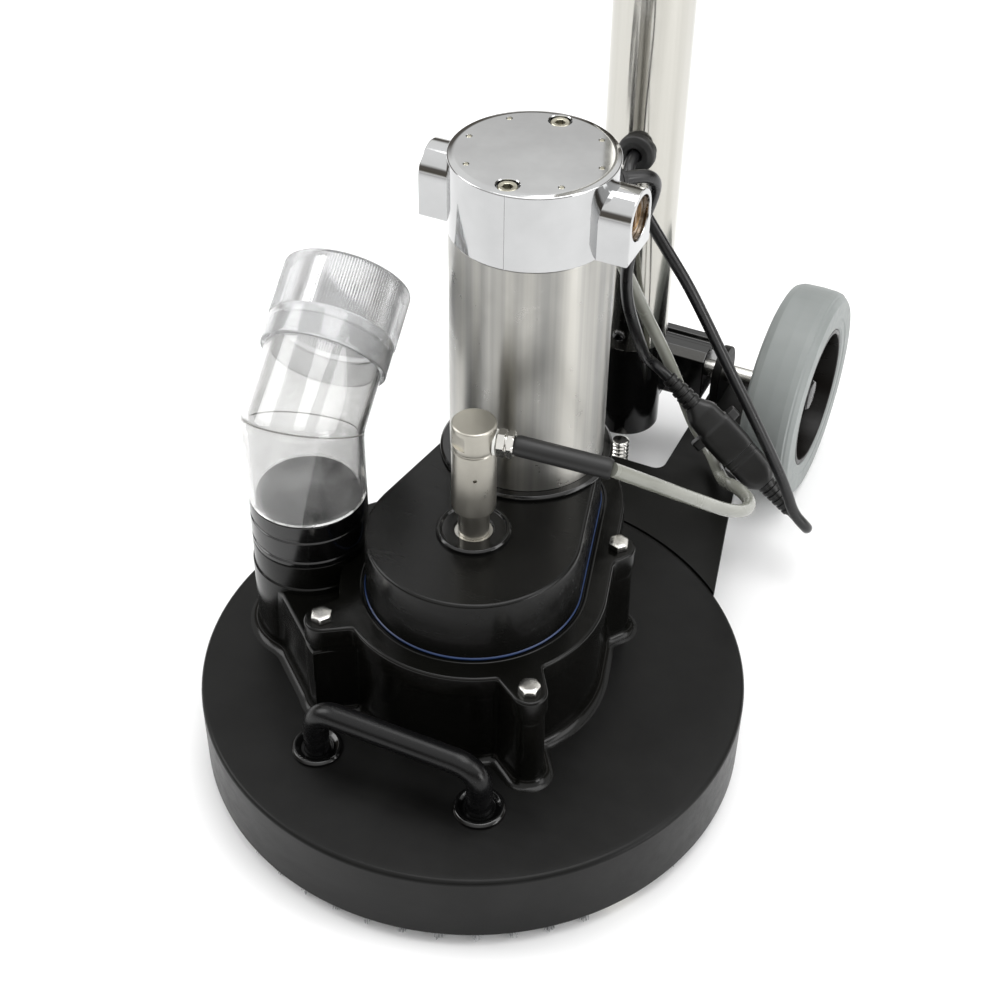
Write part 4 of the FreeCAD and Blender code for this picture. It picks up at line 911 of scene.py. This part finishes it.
yoke = Shape()
section = rounded([(-20, -17), (12, -17), (17, -10), (17, 16), (11, 21.4), (5, 21.6), (3.6, 18.6),
                   (-3.2, 18.6), (-4.6, 21.6), (-13, 21.6), (-20, 17)], 1.6, closed=True)
yoke.prism(section, -36, 36, sideways(0, *AXLE), 1.2)
yoke.prism(rounded(block(-16, -50, 16, -10), 2, closed=True), 61, 95, at(TUBE[0], AXLE[0]), 1)
yoke.lathe(rounded([(0.01, 58), (23.8, 58, 1.6), (23.8, 187), (0.01, 187)], 0.5), at(*TUBE), segments=96)
yoke.make("handle_foot", gloss_black, "handle", ["handle_yoke"])

tube = [(23.9, 132), (25.4, 132, 0.6), (25.4, 300), (25.4, 985, 0.6), (23.9, 985)]
Shape().turned(tube, 0.2, at(*TUBE), 144).make("chrome_tube", tube_chrome, "handle", ["handle_tube"])

rings = Shape()
for x, z, reach in ((-3, 285, 1.0), (-9, 236, 0.82)):
    lump = rounded([(4.4, 21), (4.4, 33.4, 1.2), (8.6, 33.4, 2), (12.4, 31.4, 2.2), (12.4, 27, 1.6),
                    (10.6, 25.4, 0.6), (10.6, 21)], 0.5, closed=True)
    wide = [(r if r < 5 else r * reach, h - 2) for r, h in lump]
    rings.lathe(wide, at(x, TUBE[1], z, (0, -1, 0)), loop=True, segments=72)
rings.make("rubber_rings", rubber_black, "handle", ["tube_grommets"])

buttons = Shape()
for angle in (-88, 92):
    out = Vector((*polar(1, angle), 0))
    place = at(TUBE[0] + 25.2 * out.x, TUBE[1] + 25.2 * out.y, 144, out)
    buttons.lathe([(0.01, 0), (4.4, 0), (4.35, 0.8), (3.9, 1.7), (3.0, 2.4), (1.9, 2.7), (1.6, 1.2),
                   (0.01, 1.1)],
                  place, segments=48, shape=hexagon(1.6, below=1.7))
buttons.make("button_screws", gloss_black, "handle", ["stub_screws"])

crown = rounded([(-34, -26), (34, -26), (40, 0), (34, 34), (-34, 34), (-40, 0)], 7, closed=True, steps=6)
top = Shape().prism(crown, 985.2, 1041, at(*TUBE), 3.2)
top.lathe(block(0.01, 945, 23.8, 990), at(*TUBE), segments=72)
top = top.make("handle_block", hub_black, "handle", ["handle_head"])
window = blank(Shape().prism(block(-13, 14, 13, 28), 1033, 1050, at(*TUBE), 0.3))
slot = blank(Shape().prism(block(27, 13, 48, 25), 970, 995, at(*TUBE), 0.3))
carve(top, [window, slot])

BAR_HEIGHT = 1012
Shape().lathe(disc_profile(11, -150, 150, 1), at(*TUBE, BAR_HEIGHT, (1, 0, 0)), segments=72).make(
    "cross_tube", tube_chrome, "handle", ["handle_crossbar"])
grips = Shape()
for side in (1, -1):
    grip = [(11.1, 54), (16, 54.4)]
    for n in range(24):
        low = 58 + 3.7 * n
        grip += [(15.7, low), (15.7, low + 2.2), (15.0, low + 2.6), (15.0, low + 3.3)]
    grip += [(16, 147), (16, 150.4), (15.2, 151.6), (13, 152), (0.01, 152), (0.01, 150.2), (11.1, 150.2)]
    grips.lathe(grip, at(*TUBE, BAR_HEIGHT, (side, 0, 0)), loop=True, segments=72)
grips.make("ribbed_grips", grip_rubber, "handle", ["handle_grips"])
rocker = Shape()
rocker.prism(rounded([(-6, -4.6), (6, -4.6), (6, 2.8), (0, 1.4), (-6, 2.8)], 0.8, closed=True), -12.3, 12.3,
             sideways(TUBE[0], 288, 1039), 0.6)
rocker.lathe(disc_profile(1.45, -14.4, 14.4, 0.2), at(TUBE[0], 288, 1037, (1, 0, 0)), segments=24)
rocker.make("rocker", switch_red, "switch", ["motor_switch"])
lever = Shape()
lever.prism(rounded([(29, 14), (120, 14), (130, 19), (120, 24), (29, 24)], 3, closed=True), 986.1, 991.9,
            at(*TUBE), 1.2)
lever.lathe(disc_profile(1.5, 11.2, 26.8, 0.2), at(TUBE[0] + 32, TUBE[1], 990, (0, 1, 0)), segments=24)
lever.make("spray_lever", hub_black, "trigger", ["spray_trigger"])

# ---------------- cords

HANDLE_CORD = [
    (-3, 242, 285), (-3.5, 230, 284.5), (0, 219, 279), (9, 213, 269.5), (20, 211, 256),
    (33, 210.5, 239), (48, 210.5, 219), (64, 211, 192), (80, 212, 163.5), (99, 212.5, 132),
    (118, 213, 99), (128.5, 213.3, 78), (135.5, 213.7, 60), (145.1, 216.6, 48.8),
    (144.2, 223.2, 42.8), (137.4, 229.1, 42.6), (130.5, 229.2, 48.4),
]
MOTOR_CORD = [
    (31.5, 125.8, 336), (40, 136, 335), (43.5, 145, 327), (40, 151, 312), (33, 152, 290),
    (26, 154, 264), (24, 163, 232), (24.5, 181, 199), (23, 202, 170), (20, 220, 149),
    (24.8, 230.5, 136.7), (34, 231, 129),
]
SOLUTION_HOSE = [
    (75.3, 15.3, 226), (86.5, 31, 211), (98, 52, 191), (108.5, 80, 165), (117.5, 106, 141),
    (123.5, 128, 125), (122, 146, 117.5), (112.5, 161, 111), (100, 179, 99), (88.5, 204, 77.5),
    (78, 223.5, 68), (66, 242.5, 67), (50, 251.5, 77), (40, 251.5, 98), (34, 246, 120),
    (26, 238, 146), (18, 227, 173), (10, 218, 200), (2, 214, 219), (-6, 219, 232),
    (-9, 231, 236), (-9, 243.2, 236),
]


def smooth_route(route):
    """Points along the smooth line that the route's control points give."""
    line = bpy.data.curves.new("route", "CURVE")
    line.dimensions = "3D"
    line.resolution_u = 14
    spline = line.splines.new("NURBS")
    spline.points.add(len(route) - 1)
    for point, place in zip(spline.points, route):
        point.co = (*spot(*place), 1)
    spline.order_u = 3
    spline.use_endpoint_u = True
    holder = bpy.data.objects.new("route", line)
    scene.collection.objects.link(holder)
    path = [vertex.co.copy() for vertex in settled(holder).vertices]
    bpy.data.objects.remove(holder)
    return path


def lay_cord(name, route, diameter, material, body, node, blend=None):
    """A cord along its route, on one body, or on none and fixed in the frame when blend is given."""
    path = smooth_route(route)
    tube = Shape().sweep(path, diameter / 2 * MM, 32).make(name, material, body, sharp=60)
    if blend:
        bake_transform(tube)
    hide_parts(node)


# ---------------- in-line plug and socket

START, END = Vector((34, 231, 129)), Vector((130.5, 229.2, 48.4))
DOWN = (END - START).normalized()
WIDE = Vector((-0.51, -0.617, -0.6))
WIDE = (WIDE - DOWN * WIDE.dot(DOWN)).normalized()
DEEP = DOWN.cross(WIDE)
LINE = Matrix.Translation(spot(*START)) @ Matrix.Scale(MM, 4) @ Matrix(
    ((WIDE.x, DEEP.x, DOWN.x, 0), (WIDE.y, DEEP.y, DOWN.y, 0), (WIDE.z, DEEP.z, DOWN.z, 0), (0, 0, 0, 1)))


def moulded(sections, count=64):
    """Rings of rounded rectangles: (height, width, depth, squareness)."""
    rings = []
    for height, width, depth, square in sections:
        ring = []
        for k in range(count):
            angle = 2 * math.pi * k / count
            c, s = math.cos(angle), math.sin(angle)
            x = math.copysign(abs(c) ** (2 / square), c) * width / 2
            y = math.copysign(abs(s) ** (2 / square), s) * depth / 2
            ring.append((x, y, height))
        rings.append(ring)
    return rings


def relief(start, end, narrow, wide, ribs):
    """A strain relief's sections: a cone with cuts between its ribs."""
    made = []
    for n in range(ribs):
        for share, inset in ((0.0, 1), (0.08, 0), (0.62, 0), (0.70, 1), (0.99, 1)):
            t = (n + share) / ribs
            size = narrow + (wide - narrow) * t
            made.append((start + (end - start) * t, 2 * (size - inset), 2 * (size - inset), 2.0))
    return made


plug_sections = relief(0, 25, 5.2, 6.9, 5) + [
    (25.2, 13.4, 13, 2.2), (28, 16, 14, 2.5), (31, 20, 15.4, 3), (34, 22.4, 16.4, 3.6), (43, 23, 16.6, 4),
    (45, 26.4, 18.4, 4), (47, 27, 19, 4), (64, 26.6, 19, 4.4), (69, 26, 18.6, 4.4), (69.8, 25, 18, 4.4),
]
plug = Shape().rings(moulded(plug_sections), LINE)
wing = rounded([(-19, -5), (-13, -6.5), (13, -6.5), (19, -5), (19, 5), (13, 6.5), (-13, 6.5), (-19, 5)], 2,
               closed=True)
plug.prism(wing, 44, 51, LINE, 1.2)
plug = plug.make("cable_plug", connector_grey, "root", ["inline_plug"])
socket_sections = [
    (70.2, 24, 16.4, 4.4), (70.8, 25, 17, 4.4), (74, 25, 17, 4.4), (74.6, 24.2, 16.2, 4.4),
    (76, 24.2, 16.2, 4.4), (76.6, 25, 17, 4.4), (88, 24.4, 17, 4.2), (93, 22.4, 16.4, 3.6),
    (96, 18.6, 15.4, 3), (98.2, 15, 14, 2.4),
] + relief(98.3, 125.6, 6.9, 5.2, 6)
socket = Shape().rings(moulded(socket_sections), LINE).make(
    "cable_socket", connector_grey, "root", ["inline_socket"])

lay_cord("handle_lead", HANDLE_CORD, 7.5, cord_black, None, "handle_cord",
         ("handle", "root", tuple(spot(0, 222, 280)), tuple(spot(128, 215, 70))))
lay_cord("motor_lead", MOTOR_CORD, 7.5, cord_black, "root", "motor_cord", None)
lay_cord("water_hose", SOLUTION_HOSE, 8.4, hose_cream, None, "solution_hose",
         ("root", "handle", tuple(spot(84.6, 223.4, 51.5)), tuple(spot(6, 302, 117))))

out = Vector((*polar(1, 50), 0))
bushing = rounded([(0.01, 0), (7, 0, 0.4), (7, 3, 0.8), (5.7, 3.2, 0.3), (5.6, 5, 0.2), (5.0, 5.2, 0.2),
                   (5.0, 6, 0.2), (5.4, 6.2, 0.2), (5.2, 8.9, 0.6), (0.01, 8.9)], 0.2)
Shape().lathe(bushing, at(MOTOR.x + 46.85 * out.x, MOTOR.y + 46.85 * out.y, 336, out), segments=48).make(
    "lead_bushing", rubber_black, "root", ["motor_lead_bushing"])

# ---------------- stage, light and camera

floor_look = Look("floor_paper")
floor_look.colours(floor_look.noise(900, 2), (0.90, 0.90, 0.90), (0.92, 0.92, 0.92))
floor_look.set(Roughness=0.75)
slab = [[(x, y, z) for x, y in block(-14, -14, 14, 14)] for z in (0, -0.01)]
floor = Shape().rings(slab).make("floor", floor_look.material, None)

world = bpy.data.worlds.new("studio")
scene.world = world
world.use_nodes = True
sky = world.node_tree
rays = sky.nodes.new("ShaderNodeLightPath")


def backdrop(strength, ramp=None):
    """One background; a ramp over the height of the view makes a darker room between floor and ceiling."""
    shader = sky.nodes.new("ShaderNodeBackground")
    shader.inputs["Color"].default_value = (1, 1, 1, 1)
    shader.inputs["Strength"].default_value = strength
    if ramp:
        split = sky.nodes.new("ShaderNodeSeparateXYZ")
        sky.links.new(sky.nodes.new("ShaderNodeTexCoord").outputs["Generated"], split.inputs["Vector"])
        tones = sky.nodes.new("ShaderNodeValToRGB")
        while len(tones.color_ramp.elements) < len(ramp):
            tones.color_ramp.elements.new(0.5)
        for element, (height, tone) in zip(tones.color_ramp.elements, ramp):
            element.position = height
            element.color = (*tone, 1)
        sky.links.new(split.outputs["Z"], tones.inputs["Fac"])
        sky.links.new(tones.outputs["Color"], shader.inputs["Color"])
    return shader.outputs["Background"]


def choose(ray, usual, other):
    """One background for this kind of ray, and the usual one for the rest."""
    mix = sky.nodes.new("ShaderNodeMixShader")
    sky.links.new(rays.outputs[ray], mix.inputs["Fac"])
    sky.links.new(usual, mix.inputs[1])
    sky.links.new(other, mix.inputs[2])
    return mix.outputs["Shader"]


room = backdrop(1.4, [(0.0, (0.8, 0.79, 0.77)), (0.10, (0.10, 0.09, 0.075)), (0.36, (0.12, 0.11, 0.10)),
                      (0.52, (0.9, 0.9, 0.89)), (1.0, (1, 1, 1))])
even = choose("Is Diffuse Ray", room, backdrop(0.85))
seen = choose("Is Camera Ray", even, backdrop(1.0))
sky.links.new(seen, sky.nodes["World Output"].inputs["Surface"])


def softbox(name, place, target, width, depth, power):
    light = bpy.data.lights.new(name, "AREA")
    light.shape = "RECTANGLE"
    light.size, light.size_y = width, depth
    light.energy = power
    lamp = bpy.data.objects.new(name, light)
    lamp.location = place
    lamp.rotation_euler = (Vector(target) - Vector(place)).to_track_quat("-Z", "Y").to_euler()
    scene.collection.objects.link(lamp)


softbox("overhead", (0.2, 0.3, 2.6), (0, 0, 0.2), 2.2, 1.6, 42)
softbox("left", (-2.2, -0.6, 1.7), (0, 0, 0.3), 1.2, 1.6, 26)
softbox("right", (2.2, 0.4, 1.5), (0, 0, 0.3), 0.9, 1.8, 16)
softbox("side", (2.3, -0.4, 0.55), (0, 0.1, 0.2), 0.8, 0.7, 12)

lens = bpy.data.cameras.new("camera")
lens.sensor_width = 36
lens.lens = 62.12
lens.clip_start = 0.02
camera = bpy.data.objects.new("camera", lens)
scene.collection.objects.link(camera)
scene.camera = camera
turn, drop, roll = math.radians(24.4), 0.713, 0.015
right = Vector((math.cos(turn), math.sin(turn), 0))
ahead = Vector((-math.sin(turn) * math.cos(drop), math.cos(turn) * math.cos(drop), -math.sin(drop)))
above = right.cross(ahead)
level_right, level_above = right, above
right = level_right * math.cos(roll) + level_above * math.sin(roll)
above = level_above * math.cos(roll) - level_right * math.sin(roll)
camera.matrix_world = Matrix.Translation((0.31622, -0.77906, 0.82213)) @ Matrix(
    (right, above, -ahead)).transposed().to_4x4()

scene.view_settings.view_transform = "Standard"
